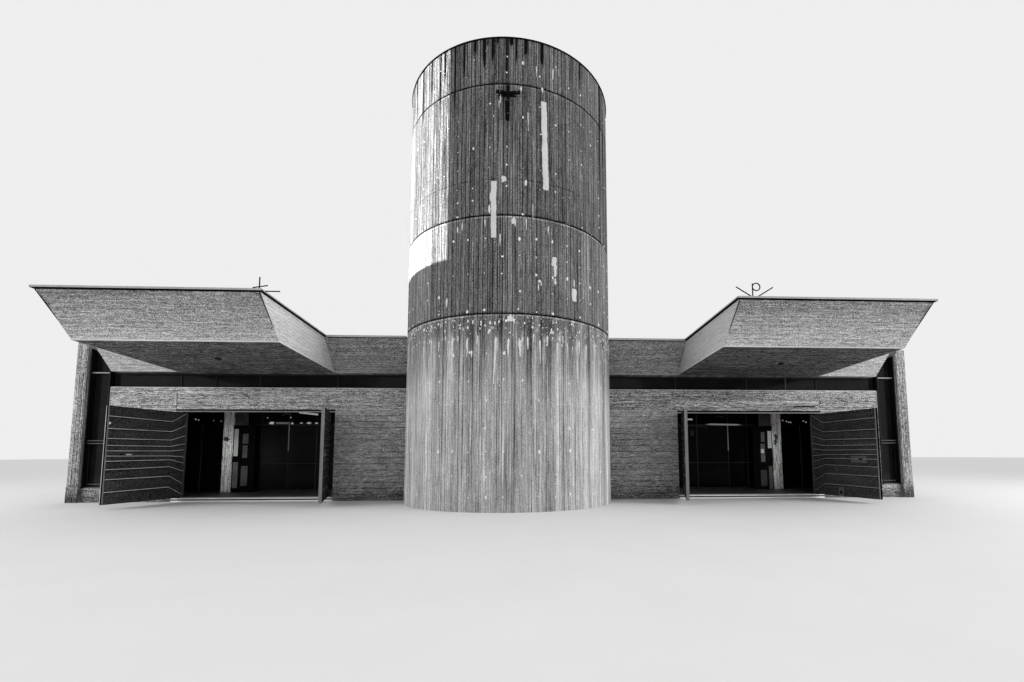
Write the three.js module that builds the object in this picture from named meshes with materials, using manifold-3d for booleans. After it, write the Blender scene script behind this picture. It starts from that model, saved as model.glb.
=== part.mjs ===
// A modern concrete church: a round drum tower stands between two low wings with
// deep inclined fascias, cantilevered canopies and paired pivot doors.
// Millimetres, +Z up. x = 0 is the axis of symmetry and -y faces the forecourt.
// Every y below is measured from the outer face of the front wall, and the
// finished group is moved so that its origin is the middle of its footprint.

import * as THREE from "three";
import * as BufferGeometryUtils from "three/addons/utils/BufferGeometryUtils.js";
import Module from "manifold-3d";

const GAP = 0.3; // clearance between pieces that bear on each other

// hall
const DEPTH = 16000; // outer face of the front wall to outer face of the back wall
const WALL = 300; // wall thickness
const BAND_TOP = 3310; // top of the front and back walls
const FLOOR_TOP = 100;
const WALL_END = 11520; // end of the front wall
const SIDE_WALL_IN = 12100; // inner face of a side wall
const SIDE_WALL_OUT = 12420;
const SIDE_WALL_TOP = 4580; // the exposed end of a side wall
const PIER_PROUD = 100; // how far a side wall stands before the front wall
const SLOT_SILL = 400; // concrete sill under the tall window slot
const PLINTH_TOP = 440;
const PLINTH_PROUD = 15;

// doorways
const OPENING_IN = 5130; // inner jamb
const OPENING_OUT = 9640; // outer jamb
const OPENING_HEAD = 2660;

// roof
const SOFFIT = 3730;
const SLAB = 180;
const FOOT_Y = -200; // lower edge of the inclined fascia
const FASCIA_TOP = 4600;
const FASCIA_TOP_Y = -1055; // upper edge of the inclined fascia
const FASCIA_THICK = 180; // measured along y
const ROOF_END = 11365;
const SLOT_ROOF = 160; // roof over the window slots

// canopies
const CANOPY_IN = 5103;
const CANOPY_OUT = 9539;
const CANOPY_RISE = 0.038; // both canopies climb slightly towards the front
const CANOPY_FOOT_Y = -3470;
const CANOPY_TOP_Y = -4345;
const COPING = 30;
const COPING_LIP = 60;

// tower
const DRUM_Y = -350;
const DRUM_R = 2917;
const DRUM_WALL = 300;
const DRUM_JOINTS = [0, 4630, 7045, 10410, 11635];
const JOINT_HIGH = 24;
const JOINT_DEEP = 18;
const DRUM_SIDES = 96;
const DECK = 150; // thickness of the drum's roof
const DECK_DOWN = 170; // how far it lies below the drum's top

// doors
const LEAF_LONG = 2220;
const LEAF_THICK = 80;
const LEAF_BOTTOM = 115;
const LEAF_TOP = 2560;
const HEAD_FRAME_LOW = 2585;
const PIVOT_INSET = 140; // pivot to the leaf's hung end
const JAMB_GAP = 30;
const PIVOT_Y = 50;
const OPEN_INNER = 107; // degrees from closed, as the doors stand
const OPEN_OUTER = 102;

// inside
const COLUMN = 360; // back columns
const COLUMN_X = 9620;
const FRONT_COLUMN = 330;
const FRONT_COLUMN_X = 9465;
const COLUMN_Y = 2400;
const SCREEN_Y = 2600;
const GLASS = 10;

const wasm = await Module();
wasm.setup();

const material = (color, roughness, metalness = 0) =>
  new THREE.MeshStandardMaterial({ color, roughness, metalness });

const concrete = material(0x8e8e8c, 0.9);
const drumConcrete = material(0x848482, 0.9);
const darkMetal = material(0x2b2b2c, 0.5, 0.7);
const paleMetal = material(0xa5a5a3, 0.4, 0.8);
const doorCladding = material(0x3a3a3b, 0.6, 0.3);
const glass = material(0x14171a, 0.1);

const outline = (points) => new THREE.Shape(points.map(([a, b]) => new THREE.Vector2(a, b)));

// a prism whose section lies in the named plane, from low to high along the third axis
function prism(plane, points, low, high) {
  const geometry = new THREE.ExtrudeGeometry(outline(points), {
    depth: high - low,
    bevelEnabled: false,
  });
  geometry.translate(0, 0, low);
  if (plane === "yz") {
    geometry.applyMatrix4(new THREE.Matrix4().set(0, 0, 1, 0, 1, 0, 0, 0, 0, 1, 0, 0, 0, 0, 0, 1));
  }
  if (plane === "xz") {
    geometry.applyMatrix4(new THREE.Matrix4().set(1, 0, 0, 0, 0, 0, 1, 0, 0, 1, 0, 0, 0, 0, 0, 1));
    flip(geometry);
  }
  return geometry;
}

// swapping two axes mirrors a body, so its triangles are turned over again
function flip(geometry) {
  const position = geometry.getAttribute("position");
  for (let i = 0; i < position.count; i += 3) {
    const a = new THREE.Vector3().fromBufferAttribute(position, i);
    const b = new THREE.Vector3().fromBufferAttribute(position, i + 1);
    position.setXYZ(i, b.x, b.y, b.z);
    position.setXYZ(i + 1, a.x, a.y, a.z);
  }
  geometry.computeVertexNormals();
}

function box(x0, x1, y0, y1, z0, z1) {
  const geometry = new THREE.BoxGeometry(Math.abs(x1 - x0), y1 - y0, z1 - z0);
  geometry.translate((x0 + x1) / 2, (y0 + y1) / 2, (z0 + z1) / 2);
  return geometry;
}

// a round bar between two points
function rod(from, to, radius, sides = 12) {
  const a = new THREE.Vector3(...from);
  const b = new THREE.Vector3(...to);
  const along = b.clone().sub(a);
  const geometry = new THREE.CylinderGeometry(radius, radius, along.length(), sides);
  const turn = new THREE.Quaternion();
  turn.setFromUnitVectors(new THREE.Vector3(0, 1, 0), along.clone().normalize());
  geometry.applyQuaternion(turn);
  const middle = a.add(b).multiplyScalar(0.5);
  geometry.translate(middle.x, middle.y, middle.z);
  return geometry;
}

// a ring turned about the drum's axis, from a closed profile of [radius, z]
function turned(profile) {
  const closed = [...profile, profile[0]].map(([r, z]) => new THREE.Vector2(r, z));
  const geometry = new THREE.LatheGeometry(closed, DRUM_SIDES);
  geometry.rotateX(Math.PI / 2);
  geometry.translate(0, DRUM_Y, 0);
  return geometry;
}

function solid(geometry) {
  const bare = geometry.clone();
  bare.deleteAttribute("normal");
  bare.deleteAttribute("uv");
  const merged = BufferGeometryUtils.mergeVertices(bare, 0.01);
  return new wasm.Manifold(
    new wasm.Mesh({
      numProp: 3,
      vertProperties: new Float32Array(merged.getAttribute("position").array),
      triVerts: new Uint32Array(merged.getIndex().array),
    }),
  );
}

function fromSolid(body) {
  const mesh = body.getMesh();
  const geometry = new THREE.BufferGeometry();
  geometry.setAttribute("position", new THREE.BufferAttribute(new Float32Array(mesh.vertProperties), 3));
  geometry.setIndex(new THREE.BufferAttribute(new Uint32Array(mesh.triVerts), 1));
  geometry.computeVertexNormals();
  return geometry;
}

const joined = (...geometries) => fromSolid(geometries.map(solid).reduce((a, b) => a.add(b)));

// what is left of a body outside the drum
function clearOfDrum(geometry) {
  const cutter = new THREE.CylinderGeometry(DRUM_R + GAP, DRUM_R + GAP, 30000, DRUM_SIDES);
  cutter.rotateX(Math.PI / 2);
  cutter.rotateZ(Math.PI / 2);
  cutter.translate(0, DRUM_Y, 0);
  return fromSolid(solid(geometry).subtract(solid(cutter)));
}

// x of the drum's face at the given y
const drumX = (y) => Math.sqrt((DRUM_R + GAP) ** 2 - (DRUM_Y - y) ** 2);

const church = new THREE.Group();

function place(name, geometry, surface) {
  const mesh = new THREE.Mesh(geometry, surface);
  mesh.name = name;
  church.add(mesh);
  return mesh;
}

// both sides, with side = -1 on the left and 1 on the right
const SIDES = [
  ["left", -1],
  ["right", 1],
];
const flipX = (side, points) => points.map(([x, v]) => [side * x, v]);
const span = (side, near, far) => (side > 0 ? [near, far] : [-far, -near]);

function buildTower() {
  const inner = DRUM_R - DRUM_WALL;
  for (let i = 0; i < 4; i += 1) {
    const low = DRUM_JOINTS[i] + (i ? GAP : 0);
    const high = DRUM_JOINTS[i + 1];
    const profile = [[inner, low]];
    if (i > 0) {
      profile.push([DRUM_R - JOINT_DEEP, low], [DRUM_R - JOINT_DEEP, low + JOINT_HIGH]);
      profile.push([DRUM_R, low + JOINT_HIGH]);
    } else {
      profile.push([DRUM_R, low]);
    }
    profile.push([DRUM_R, high], [inner, high]);
    place(`tower_lift_${i + 1}`, turned(profile), drumConcrete);
  }
  const top = DRUM_JOINTS[4];
  const roof = inner - GAP;
  const deck = new THREE.CylinderGeometry(roof, roof, DECK, DRUM_SIDES);
  deck.rotateX(Math.PI / 2);
  deck.rotateZ(Math.PI / 2);
  deck.translate(0, DRUM_Y, top - DECK_DOWN - DECK / 2);
  place("tower_roof", deck, concrete);
  const rim = [
    [DRUM_R - 200, top + GAP],
    [DRUM_R + 20, top + GAP],
    [DRUM_R + 20, top + 35],
    [DRUM_R - 200, top + 35],
  ];
  place("tower_rim", turned(rim), darkMetal);
}

// the cross stands off the drum's face on two pegs
function buildCross() {
  const y = DRUM_Y - DRUM_R - 110;
  const low = 9395;
  const high = 10285;
  const upright = box(-37, 37, y - 22, y + 22, low, high);
  // the arms rise a little towards their ends
  const arms = [
    [-292, 10090],
    [0, 10050],
    [292, 10090],
    [292, 10160],
    [0, 10120],
    [-292, 10160],
  ];
  const crossbar = prism("xz", arms, y - 22, y + 22);
  const face = DRUM_Y - DRUM_R - GAP * 3;
  const upper = rod([0, y, 9900], [0, face, 9900], 16);
  const lower = rod([0, y, 9560], [0, face, 9560], 16);
  place("tower_cross", joined(upright, crossbar, upper, lower), darkMetal);
}

function buildFrontWalls() {
  for (const [word, side] of SIDES) {
    const [i0, i1] = span(side, 2000, OPENING_IN - GAP);
    place(`${word}_front_wall_inner`, clearOfDrum(box(i0, i1, 0, WALL, 0, BAND_TOP)), concrete);
    const [l0, l1] = span(side, OPENING_IN, OPENING_OUT);
    place(`${word}_door_lintel`, box(l0, l1, 0, WALL, OPENING_HEAD, BAND_TOP), concrete);
    const outer = flipX(side, [
      [OPENING_OUT + GAP, 0],
      [SIDE_WALL_IN - GAP, 0],
      [SIDE_WALL_IN - GAP, SLOT_SILL],
      [WALL_END, SLOT_SILL],
      [WALL_END, BAND_TOP],
      [OPENING_OUT + GAP, BAND_TOP],
    ]);
    place(`${word}_front_wall_outer`, prism("xz", outer, 0, WALL), concrete);
  }
}

function buildSideWalls() {
  const front = -PIER_PROUD;
  const back = DEPTH + PIER_PROUD;
  const shoulder = SIDE_WALL_TOP - SLOT_ROOF;
  const pier = 2 * PIER_PROUD;
  const section = [
    [front - PLINTH_PROUD, 0],
    [back + PLINTH_PROUD, 0],
    [back + PLINTH_PROUD, PLINTH_TOP],
    [back, PLINTH_TOP],
    [back, SIDE_WALL_TOP],
    [back - pier, SIDE_WALL_TOP],
    [back - pier, shoulder],
    [front + pier, shoulder],
    [front + pier, SIDE_WALL_TOP],
    [front, SIDE_WALL_TOP],
    [front, PLINTH_TOP],
    [front - PLINTH_PROUD, PLINTH_TOP],
  ];
  for (const [word, side] of SIDES) {
    place(`${word}_side_wall`, prism("yz", section, ...span(side, SIDE_WALL_IN, SIDE_WALL_OUT)), concrete);
  }
}

function buildBackWall() {
  const half = [
    [SIDE_WALL_IN - GAP, 0],
    [SIDE_WALL_IN - GAP, SLOT_SILL],
    [WALL_END, SLOT_SILL],
    [WALL_END, BAND_TOP],
  ];
  const section = [...half, ...flipX(-1, half).reverse()];
  place("back_wall", prism("xz", section, DEPTH - WALL, DEPTH), concrete);
}

function buildSlabs() {
  const near = WALL + GAP;
  const far = DEPTH - WALL - GAP;
  const floor = SIDE_WALL_IN - GAP;
  place("floor_slab", clearOfDrum(box(-floor, floor, near, far, 0, FLOOR_TOP)), concrete);
  const roof = box(-ROOF_END, ROOF_END, near, far, SOFFIT, SOFFIT + SLAB);
  place("roof_slab", clearOfDrum(roof), concrete);
  for (const [word, side] of SIDES) {
    const x0 = ROOF_END - FASCIA_THICK;
    const low = SOFFIT + SLAB + GAP;
    const under = SIDE_WALL_TOP - SLOT_ROOF + GAP;
    const section = flipX(side, [
      [x0, low],
      [ROOF_END, low],
      [ROOF_END, under],
      [SIDE_WALL_OUT, under],
      [SIDE_WALL_OUT, SIDE_WALL_TOP],
      [x0, SIDE_WALL_TOP],
    ]);
    const y0 = PIER_PROUD + GAP;
    place(`${word}_light_slot_roof`, prism("xz", section, y0, DEPTH - y0), concrete);
  }
}

// how far the fascia's face leans out per millimetre of height
const LEAN = (FOOT_Y - FASCIA_TOP_Y) / (FASCIA_TOP - SOFFIT);

// L-shaped section: the inclined plate and the strip of soffit behind its foot
function fasciaSection() {
  const slabTop = SOFFIT + SLAB;
  return [
    [FOOT_Y, SOFFIT],
    [WALL, SOFFIT],
    [WALL, slabTop],
    [FOOT_Y + FASCIA_THICK - LEAN * SLAB, slabTop],
    [FASCIA_TOP_Y + FASCIA_THICK, FASCIA_TOP],
    [FASCIA_TOP_Y, FASCIA_TOP],
  ];
}

// closes the trough behind the fascia at the roof's end
function endCheek() {
  return [
    [FOOT_Y, SOFFIT],
    [PIER_PROUD - GAP, SOFFIT],
    [PIER_PROUD - GAP, FASCIA_TOP],
    [FASCIA_TOP_Y, FASCIA_TOP],
  ];
}

const toBack = (points) => points.map(([y, z]) => [DEPTH - y, z]);

function buildFascias() {
  for (const [word, side] of SIDES) {
    const inner = prism("yz", fasciaSection(), ...span(side, 2000, CANOPY_IN - GAP));
    place(`${word}_fascia_inner`, clearOfDrum(inner), concrete);
    const plate = prism("yz", fasciaSection(), ...span(side, CANOPY_OUT + GAP, ROOF_END));
    const cheek = prism("yz", endCheek(), ...span(side, ROOF_END - FASCIA_THICK, ROOF_END));
    place(`${word}_fascia_outer`, joined(plate, cheek), concrete);
  }
  const plate = prism("yz", toBack(fasciaSection()), -ROOF_END, ROOF_END);
  const cheeks = SIDES.map(([, side]) =>
    prism("yz", toBack(endCheek()), ...span(side, ROOF_END - FASCIA_THICK, ROOF_END)),
  );
  place("back_fascia", joined(plate, ...cheeks), concrete);
}

const soffitAt = (y) => SOFFIT + CANOPY_RISE * Math.max(0, FOOT_Y - y);
const topAt = (y) => FASCIA_TOP + CANOPY_RISE * Math.max(0, FASCIA_TOP_Y - y);

// how far the canopy's face leans out per millimetre of height
const CANOPY_LEAN = (CANOPY_FOOT_Y - CANOPY_TOP_Y) / (topAt(CANOPY_TOP_Y) - soffitAt(CANOPY_FOOT_Y));
const SLAB_FRONT = CANOPY_FOOT_Y + FASCIA_THICK + GAP;

// the slab ends against the back of the inclined face
const SLAB_EDGE = [SLAB_FRONT - CANOPY_LEAN * SLAB, soffitAt(SLAB_FRONT) + SLAB];

function slabTopAt(y) {
  const share = Math.max(0, (FOOT_Y - y) / (FOOT_Y - SLAB_EDGE[0]));
  return SOFFIT + SLAB + share * (SLAB_EDGE[1] - SOFFIT - SLAB);
}

function buildCanopies() {
  const innerFoot = CANOPY_FOOT_Y + FASCIA_THICK;
  const innerTop = CANOPY_TOP_Y + FASCIA_THICK;
  const front = [
    [CANOPY_FOOT_Y, soffitAt(CANOPY_FOOT_Y)],
    [innerFoot, soffitAt(innerFoot)],
    [innerTop, topAt(innerTop)],
    [CANOPY_TOP_Y, topAt(CANOPY_TOP_Y)],
  ];
  const cheek = [
    [WALL, SOFFIT],
    [WALL, SOFFIT + SLAB],
    [FOOT_Y + FASCIA_THICK - LEAN * SLAB, SOFFIT + SLAB],
    [FASCIA_TOP_Y + FASCIA_THICK, FASCIA_TOP],
    [FASCIA_TOP_Y, FASCIA_TOP],
    [innerTop - 60, topAt(innerTop - 60)],
    [innerFoot - 60, soffitAt(innerFoot - 60)],
    [FOOT_Y, SOFFIT],
  ];
  const slab = [
    [WALL, SOFFIT],
    [WALL, SOFFIT + SLAB],
    [FOOT_Y, SOFFIT + SLAB],
    SLAB_EDGE,
    [SLAB_FRONT, soffitAt(SLAB_FRONT)],
    [FOOT_Y, SOFFIT],
  ];
  const coping = (y0, y1) => [
    [y0, topAt(y0) + GAP],
    [y1, topAt(y1) + GAP],
    [y1, topAt(y1) + COPING],
    [y0, topAt(y0) + COPING],
  ];
  const lip = CANOPY_TOP_Y - COPING_LIP;
  const strip = FASCIA_THICK + COPING_LIP + 20;
  for (const [word, side] of SIDES) {
    const cheeks = [
      span(side, CANOPY_IN, CANOPY_IN + FASCIA_THICK),
      span(side, CANOPY_OUT - FASCIA_THICK, CANOPY_OUT),
    ].map(([x0, x1]) => prism("yz", cheek, x0, x1));
    const face = prism("yz", front, ...span(side, CANOPY_IN, CANOPY_OUT));
    place(`${word}_canopy_fascia`, joined(face, ...cheeks), concrete);

    const between = span(side, CANOPY_IN + FASCIA_THICK + GAP, CANOPY_OUT - FASCIA_THICK - GAP);
    place(`${word}_canopy_slab`, prism("yz", slab, ...between), concrete);

    const x0 = CANOPY_IN - COPING_LIP;
    const x1 = CANOPY_OUT + COPING_LIP;
    const metal = [
      prism("yz", coping(lip, lip + strip), ...span(side, x0, x1)),
      prism("yz", coping(lip, FASCIA_TOP_Y + FASCIA_THICK), ...span(side, x0, x0 + strip)),
      prism("yz", coping(lip, FASCIA_TOP_Y + FASCIA_THICK), ...span(side, x1 - strip, x1)),
    ];
    place(`${word}_canopy_coping`, joined(...metal), paleMetal);
  }
}

function buildGlazing() {
  const y0 = WALL / 2;
  const y1 = y0 + GLASS;
  const under = SIDE_WALL_TOP - SLOT_ROOF - GAP;
  // the tall slot and the strip under the roof are one sheet
  const half = (near) => [
    [near, BAND_TOP + GAP],
    [WALL_END + GAP, BAND_TOP + GAP],
    [WALL_END + GAP, SLOT_SILL + GAP],
    [SIDE_WALL_IN - GAP, SLOT_SILL + GAP],
    [SIDE_WALL_IN - GAP, under],
    [ROOF_END + GAP, under],
    [ROOF_END + GAP, SOFFIT - GAP],
    [near, SOFFIT - GAP],
  ];
  for (const [word, side] of SIDES) {
    place(`${word}_front_glazing`, prism("xz", flipX(side, half(drumX(y1) + 1)), y0, y1), glass);
  }
  for (const [word, side] of SIDES) {
    place(`${word}_back_glazing`, prism("xz", flipX(side, half(GAP)), DEPTH - y1, DEPTH - y0), glass);
  }
}

function buildInside() {
  const low = FLOOR_TOP + GAP;
  const high = SOFFIT - GAP;
  for (const [word, side] of SIDES) {
    for (const [where, wide, from, y] of [
      ["front", FRONT_COLUMN, FRONT_COLUMN_X, COLUMN_Y],
      ["back", COLUMN, COLUMN_X, DEPTH - COLUMN_Y],
    ]) {
      const h = wide / 2;
      const x = side * from;
      place(`${word}_${where}_column`, box(x - h, x + h, y - h, y + h, low, high), concrete);
    }
    const [x0, x1] = span(side, GAP, SIDE_WALL_IN - GAP);
    place(`${word}_lobby_screen`, box(x0, x1, SCREEN_Y, SCREEN_Y + GLASS, low, high), glass);
  }
}

function buildDoorways() {
  for (const [word, side] of SIDES) {
    const [x0, x1] = span(side, OPENING_IN + GAP, OPENING_OUT - GAP);
    place(`${word}_head_frame`, box(x0, x1, 15, 85, HEAD_FRAME_LOW, OPENING_HEAD - GAP), paleMetal);
    place(`${word}_threshold`, box(x0, x1, -20, WALL, 0, FLOOR_TOP), concrete);
  }
}

function buildLeaf(name, x, towards, angle) {
  const leaf = box(-PIVOT_INSET, LEAF_LONG - PIVOT_INSET, -LEAF_THICK / 2, LEAF_THICK / 2, LEAF_BOTTOM, LEAF_TOP);
  const pin = (z0, z1) => rod([0, 0, z0], [0, 0, z1], 30, 24);
  const lower = pin(FLOOR_TOP + GAP, LEAF_BOTTOM + 20);
  const upper = pin(LEAF_TOP - 20, HEAD_FRAME_LOW - GAP);
  const mesh = place(name, joined(leaf, lower, upper), doorCladding);
  const closed = towards > 0 ? 0 : 180;
  mesh.position.set(x, PIVOT_Y, 0);
  mesh.rotation.z = THREE.MathUtils.degToRad(closed - towards * angle);
}

function buildLeaves() {
  for (const [word, side] of SIDES) {
    const inner = OPENING_IN + JAMB_GAP + PIVOT_INSET;
    const outer = OPENING_OUT - JAMB_GAP - PIVOT_INSET;
    buildLeaf(`${word}_inner_leaf`, side * inner, side, OPEN_INNER);
    buildLeaf(`${word}_outer_leaf`, side * outer, -side, OPEN_OUTER);
  }
}

const SIGN_Y = -3050;
const SIGN_BAR = 14;

// a foot plate that follows the slope of the canopy's slab
function footPlate(x) {
  const bearing = (y) => slabTopAt(y) + GAP;
  const near = SIGN_Y - 60;
  const far = SIGN_Y + 60;
  return prism(
    "yz",
    [
      [near, bearing(near)],
      [far, bearing(far)],
      [far, bearing(far) + 12],
      [near, bearing(near) + 12],
    ],
    x - 60,
    x + 60,
  );
}

// two crossed bars and an upright with a loop at its head
function buildMonogram() {
  const x = 6120;
  const stem = x - 50;
  const foot = slabTopAt(SIGN_Y) + GAP + 3;
  const middle = 5170;
  const reach = 470;
  const high = 5460;
  const low = 2 * middle - high;
  const loop = new THREE.TorusGeometry(95, SIGN_BAR, 10, 28);
  loop.rotateX(Math.PI / 2);
  loop.translate(stem + 95, SIGN_Y, 5465);
  const parts = [
    rod([x - reach, SIGN_Y, high], [x + reach, SIGN_Y, low], SIGN_BAR),
    rod([x + reach, SIGN_Y, high], [x - reach, SIGN_Y, low], SIGN_BAR),
    rod([stem, SIGN_Y, foot], [stem, SIGN_Y, 5550], SIGN_BAR),
    footPlate(stem),
    loop,
  ];
  place("right_roof_monogram", joined(...parts), darkMetal);
}

// an upright with two short bars set at right angles
function buildRoofCross() {
  const x = -5820;
  const foot = slabTopAt(SIGN_Y) + GAP + 3;
  const parts = [
    rod([x, SIGN_Y, foot], [x, SIGN_Y, 5505], SIGN_BAR),
    rod([x - 150, SIGN_Y, 5245], [x + 190, SIGN_Y, 5300], SIGN_BAR),
    rod([x, SIGN_Y, 5160], [x + 476, SIGN_Y, 5160], SIGN_BAR),
    footPlate(x),
  ];
  place("left_roof_cross", joined(...parts), darkMetal);
}

buildTower();
buildCross();
buildFrontWalls();
buildSideWalls();
buildBackWall();
buildSlabs();
buildFascias();
buildCanopies();
buildGlazing();
buildInside();
buildDoorways();
buildLeaves();
buildMonogram();
buildRoofCross();

// the footprint runs from the canopies' coping to the back fascia's upper edge
const FRONT_MOST = CANOPY_TOP_Y - COPING_LIP;
const BACK_MOST = DEPTH - FASCIA_TOP_Y;
church.position.y = -(FRONT_MOST + BACK_MOST) / 2;

export default church;
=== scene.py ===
import math
import random

import bpy
from mathutils import Matrix, Vector


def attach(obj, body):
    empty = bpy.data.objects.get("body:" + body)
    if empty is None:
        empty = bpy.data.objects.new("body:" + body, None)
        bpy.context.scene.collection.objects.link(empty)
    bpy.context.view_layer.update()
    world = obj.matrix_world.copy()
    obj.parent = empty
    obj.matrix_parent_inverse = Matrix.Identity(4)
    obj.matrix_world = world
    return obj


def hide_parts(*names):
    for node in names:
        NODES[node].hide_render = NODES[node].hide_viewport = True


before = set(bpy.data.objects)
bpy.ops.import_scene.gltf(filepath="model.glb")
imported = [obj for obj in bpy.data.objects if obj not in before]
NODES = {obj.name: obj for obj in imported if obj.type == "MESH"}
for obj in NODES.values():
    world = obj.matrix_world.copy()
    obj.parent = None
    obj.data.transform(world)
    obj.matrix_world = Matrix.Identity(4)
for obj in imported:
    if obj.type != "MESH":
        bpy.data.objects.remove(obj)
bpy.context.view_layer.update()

# Metres. As in the CAD source, y is measured from the outer face of the front wall, and SHIFT moves it to the
# frame. Most places are given for the right side, and s = -1 or 1 turns them to the left or right.
SHIFT = -6.325
SIDES = (("left", -1), ("right", 1))
DEPTH, WALL = 16.0, 0.3
BAND_TOP, HEAD = 3.31, 2.66
WALL_END = 11.52
CASTING = 4.94
SIDE_IN, SIDE_OUT, SIDE_TOP = 12.10, 12.42, 4.58
JAMB_IN, JAMB_OUT = 5.13, 9.64
SOFFIT, SLAB = 3.73, 0.18
FOOT_Y, TOP_Y, TOP_Z = -0.2, -1.055, 4.6
# how far a fascia leans out for each metre of height
LEAN = 0.98276
ROOF_END = 11.365
CANOPY_IN, CANOPY_OUT, RISE = 5.103, 9.539, 0.038
FRONT_FOOT, FRONT_TOP = -3.47, -4.345
DRUM_Y, DRUM_R, DRUM_IN = -0.35, 2.917, 2.617
LIFTS = (0.0, 4.63, 7.045, 10.41, 11.635)
BESIDE_DRUM = 2.915
FLOOR_TOP = 0.101
BOARD, BOARD_LENGTH = 0.118, 3.1
FRONTWARD, BACKWARD, UPWARD, DOWNWARD = (0, -1, 0), (0, 1, 0), (0, 0, 1), (0, 0, -1)
# how far the marks on a wall lie before its concrete, and where the boards of a wall start
MARK, GROUND = 0.0045, 0.002
POURS = ((0.445, 3.722), (3.738, 4.568))


def soffit_at(y):
    return SOFFIT + RISE * max(0.0, FOOT_Y - y)


def top_at(y):
    return TOP_Z + RISE * max(0.0, TOP_Y - y)


def clamped(value, low=0.0, high=1.0):
    return max(low, min(high, value))


def parts(start, end, count):
    """The equal stretches between two ends."""
    cuts = [start + (end - start) * i / count for i in range(count + 1)]
    return list(zip(cuts, cuts[1:]))


def around(count):
    """Each number below count with the next, and the last with the first."""
    return [(k, (k + 1) % count) for k in range(count)]


def both(*names):
    """The names that the parts have on the left and on the right."""
    return [f"{word}_{name}" for word, _ in SIDES for name in names]


def section(y, z, offsets):
    """An outline given by its offsets from a place."""
    return [(y + dy, z + dz) for dy, dz in offsets]


# Camera, solved from the photograph: the picture and its middle in pixels, the turns in radians
PHOTO_WIDE, PHOTO_TALL, FOCAL = 1024, 682, 473.704
MIDDLE_X, MIDDLE_Y = 543.339, 414.189
EYE = (0.279, -14.219 + SHIFT, 1.30)
YAW, PITCH, ROLL = 0.052, 0.087, -0.002
SENSOR = 36


def build_camera():
    ahead = Vector((math.sin(YAW) * math.cos(PITCH), math.cos(YAW) * math.cos(PITCH), math.sin(PITCH)))
    level = Vector((math.cos(YAW), -math.sin(YAW), 0))
    above = level.cross(ahead)
    right = math.cos(ROLL) * level + math.sin(ROLL) * above
    up = -math.sin(ROLL) * level + math.cos(ROLL) * above
    lens = bpy.data.cameras.new("camera")
    lens.sensor_width = SENSOR
    lens.lens = FOCAL / PHOTO_WIDE * SENSOR
    lens.shift_x = (PHOTO_WIDE / 2 - MIDDLE_X) / PHOTO_WIDE
    lens.shift_y = (MIDDLE_Y - PHOTO_TALL / 2) / PHOTO_WIDE
    lens.clip_end = 500
    camera = bpy.data.objects.new("camera", lens)
    rows = [(*turn, place) for turn, place in zip(zip(right, up, -ahead), EYE)]
    camera.matrix_world = Matrix(rows + [(0, 0, 0, 1)])
    bpy.context.collection.objects.link(camera)
    bpy.context.scene.camera = camera


build_camera()


# Materials
class Graph:
    """A node material whose values are worked out as a viewer sees them, and turned to linear at the end."""

    def __init__(self, name):
        self.material = bpy.data.materials.new(name)
        self.material.use_nodes = True
        self.tree = self.material.node_tree
        self.tree.nodes.clear()
        self.shader = self.node("BsdfPrincipled")
        self.node("OutputMaterial", {"Surface": self.shader.outputs[0]})
        self.place = self.node("TexCoord").outputs["Object"]

    def node(self, kind, sockets=(), **settings):
        """A node, with the sockets that aren't left as they are."""
        made = self.tree.nodes.new("ShaderNode" + kind)
        for key, value in settings.items():
            setattr(made, key, value)
        for key, value in dict(sockets).items():
            self.put(made.inputs[key], value)
        return made

    def put(self, socket, value):
        if isinstance(value, bpy.types.NodeSocket):
            self.tree.links.new(value, socket)
        else:
            socket.default_value = value

    def math(self, operation, *values):
        return self.node("Math", enumerate(values), operation=operation).outputs[0]

    def mul(self, a, b):
        return self.math("MULTIPLY", a, b)

    def sub(self, a, b):
        return self.math("SUBTRACT", a, b)

    def total(self, first, *terms):
        """first plus each value times its weight"""
        for value, weight in terms:
            first = self.math("MULTIPLY_ADD", value, weight, first)
        return first

    def split(self, vector):
        return self.node("SeparateXYZ", {0: vector}).outputs

    def join(self, *values):
        return self.node("CombineXYZ", enumerate(values)).outputs[0]

    def noise(self, vector, scale=1.0, detail=3.0, roughness=0.55, stretch=None):
        """noise about zero, from about -0.5 to 0.5"""
        if stretch:
            vector = self.node("Mapping", {"Vector": vector, "Scale": stretch}).outputs[0]
        sockets = {"Vector": vector, "Scale": scale, "Detail": detail, "Roughness": roughness}
        return self.sub(self.node("TexNoise", sockets).outputs[0], 0.5)

    def white(self, vector):
        return self.node("TexWhiteNoise", {"Vector": vector}).outputs["Value"]

    def cells(self, vector, scale):
        return self.node("TexVoronoi", {"Vector": vector, "Scale": scale}).outputs["Distance"]

    def between(self, value, low, high, at_low=0.0, at_high=1.0):
        sockets = {"Value": value, "From Min": low, "From Max": high, "To Min": at_low, "To Max": at_high}
        return self.node("MapRange", sockets, interpolation_type="SMOOTHSTEP").outputs[0]

    def below(self, value, low, high):
        return self.between(value, low, high, 1.0, 0.0)

    def attribute(self, name):
        return self.node("Attribute", attribute_name=name).outputs["Fac"]

    def uv(self, name):
        return self.split(self.node("UVMap", uv_map=name).outputs[0])

    def finish(self, colour, roughness, height=None, depth=0.003, strength=0.6, **single):
        """Feeds the shader. single holds the sockets that have one value all over."""
        sockets = self.shader.inputs
        colour = self.math("MINIMUM", self.math("MAXIMUM", colour, 0.03), 0.95)
        self.put(sockets["Base Color"], self.math("POWER", colour, 2.2))
        self.put(sockets["Roughness"], roughness)
        if height:
            bump = self.node("Bump", {"Distance": depth, "Strength": strength, "Height": height})
            self.put(sockets["Normal"], bump.outputs[0])
        for key, value in single.items():
            sockets[key.replace("_", " ")].default_value = value
        return self.material


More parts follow.
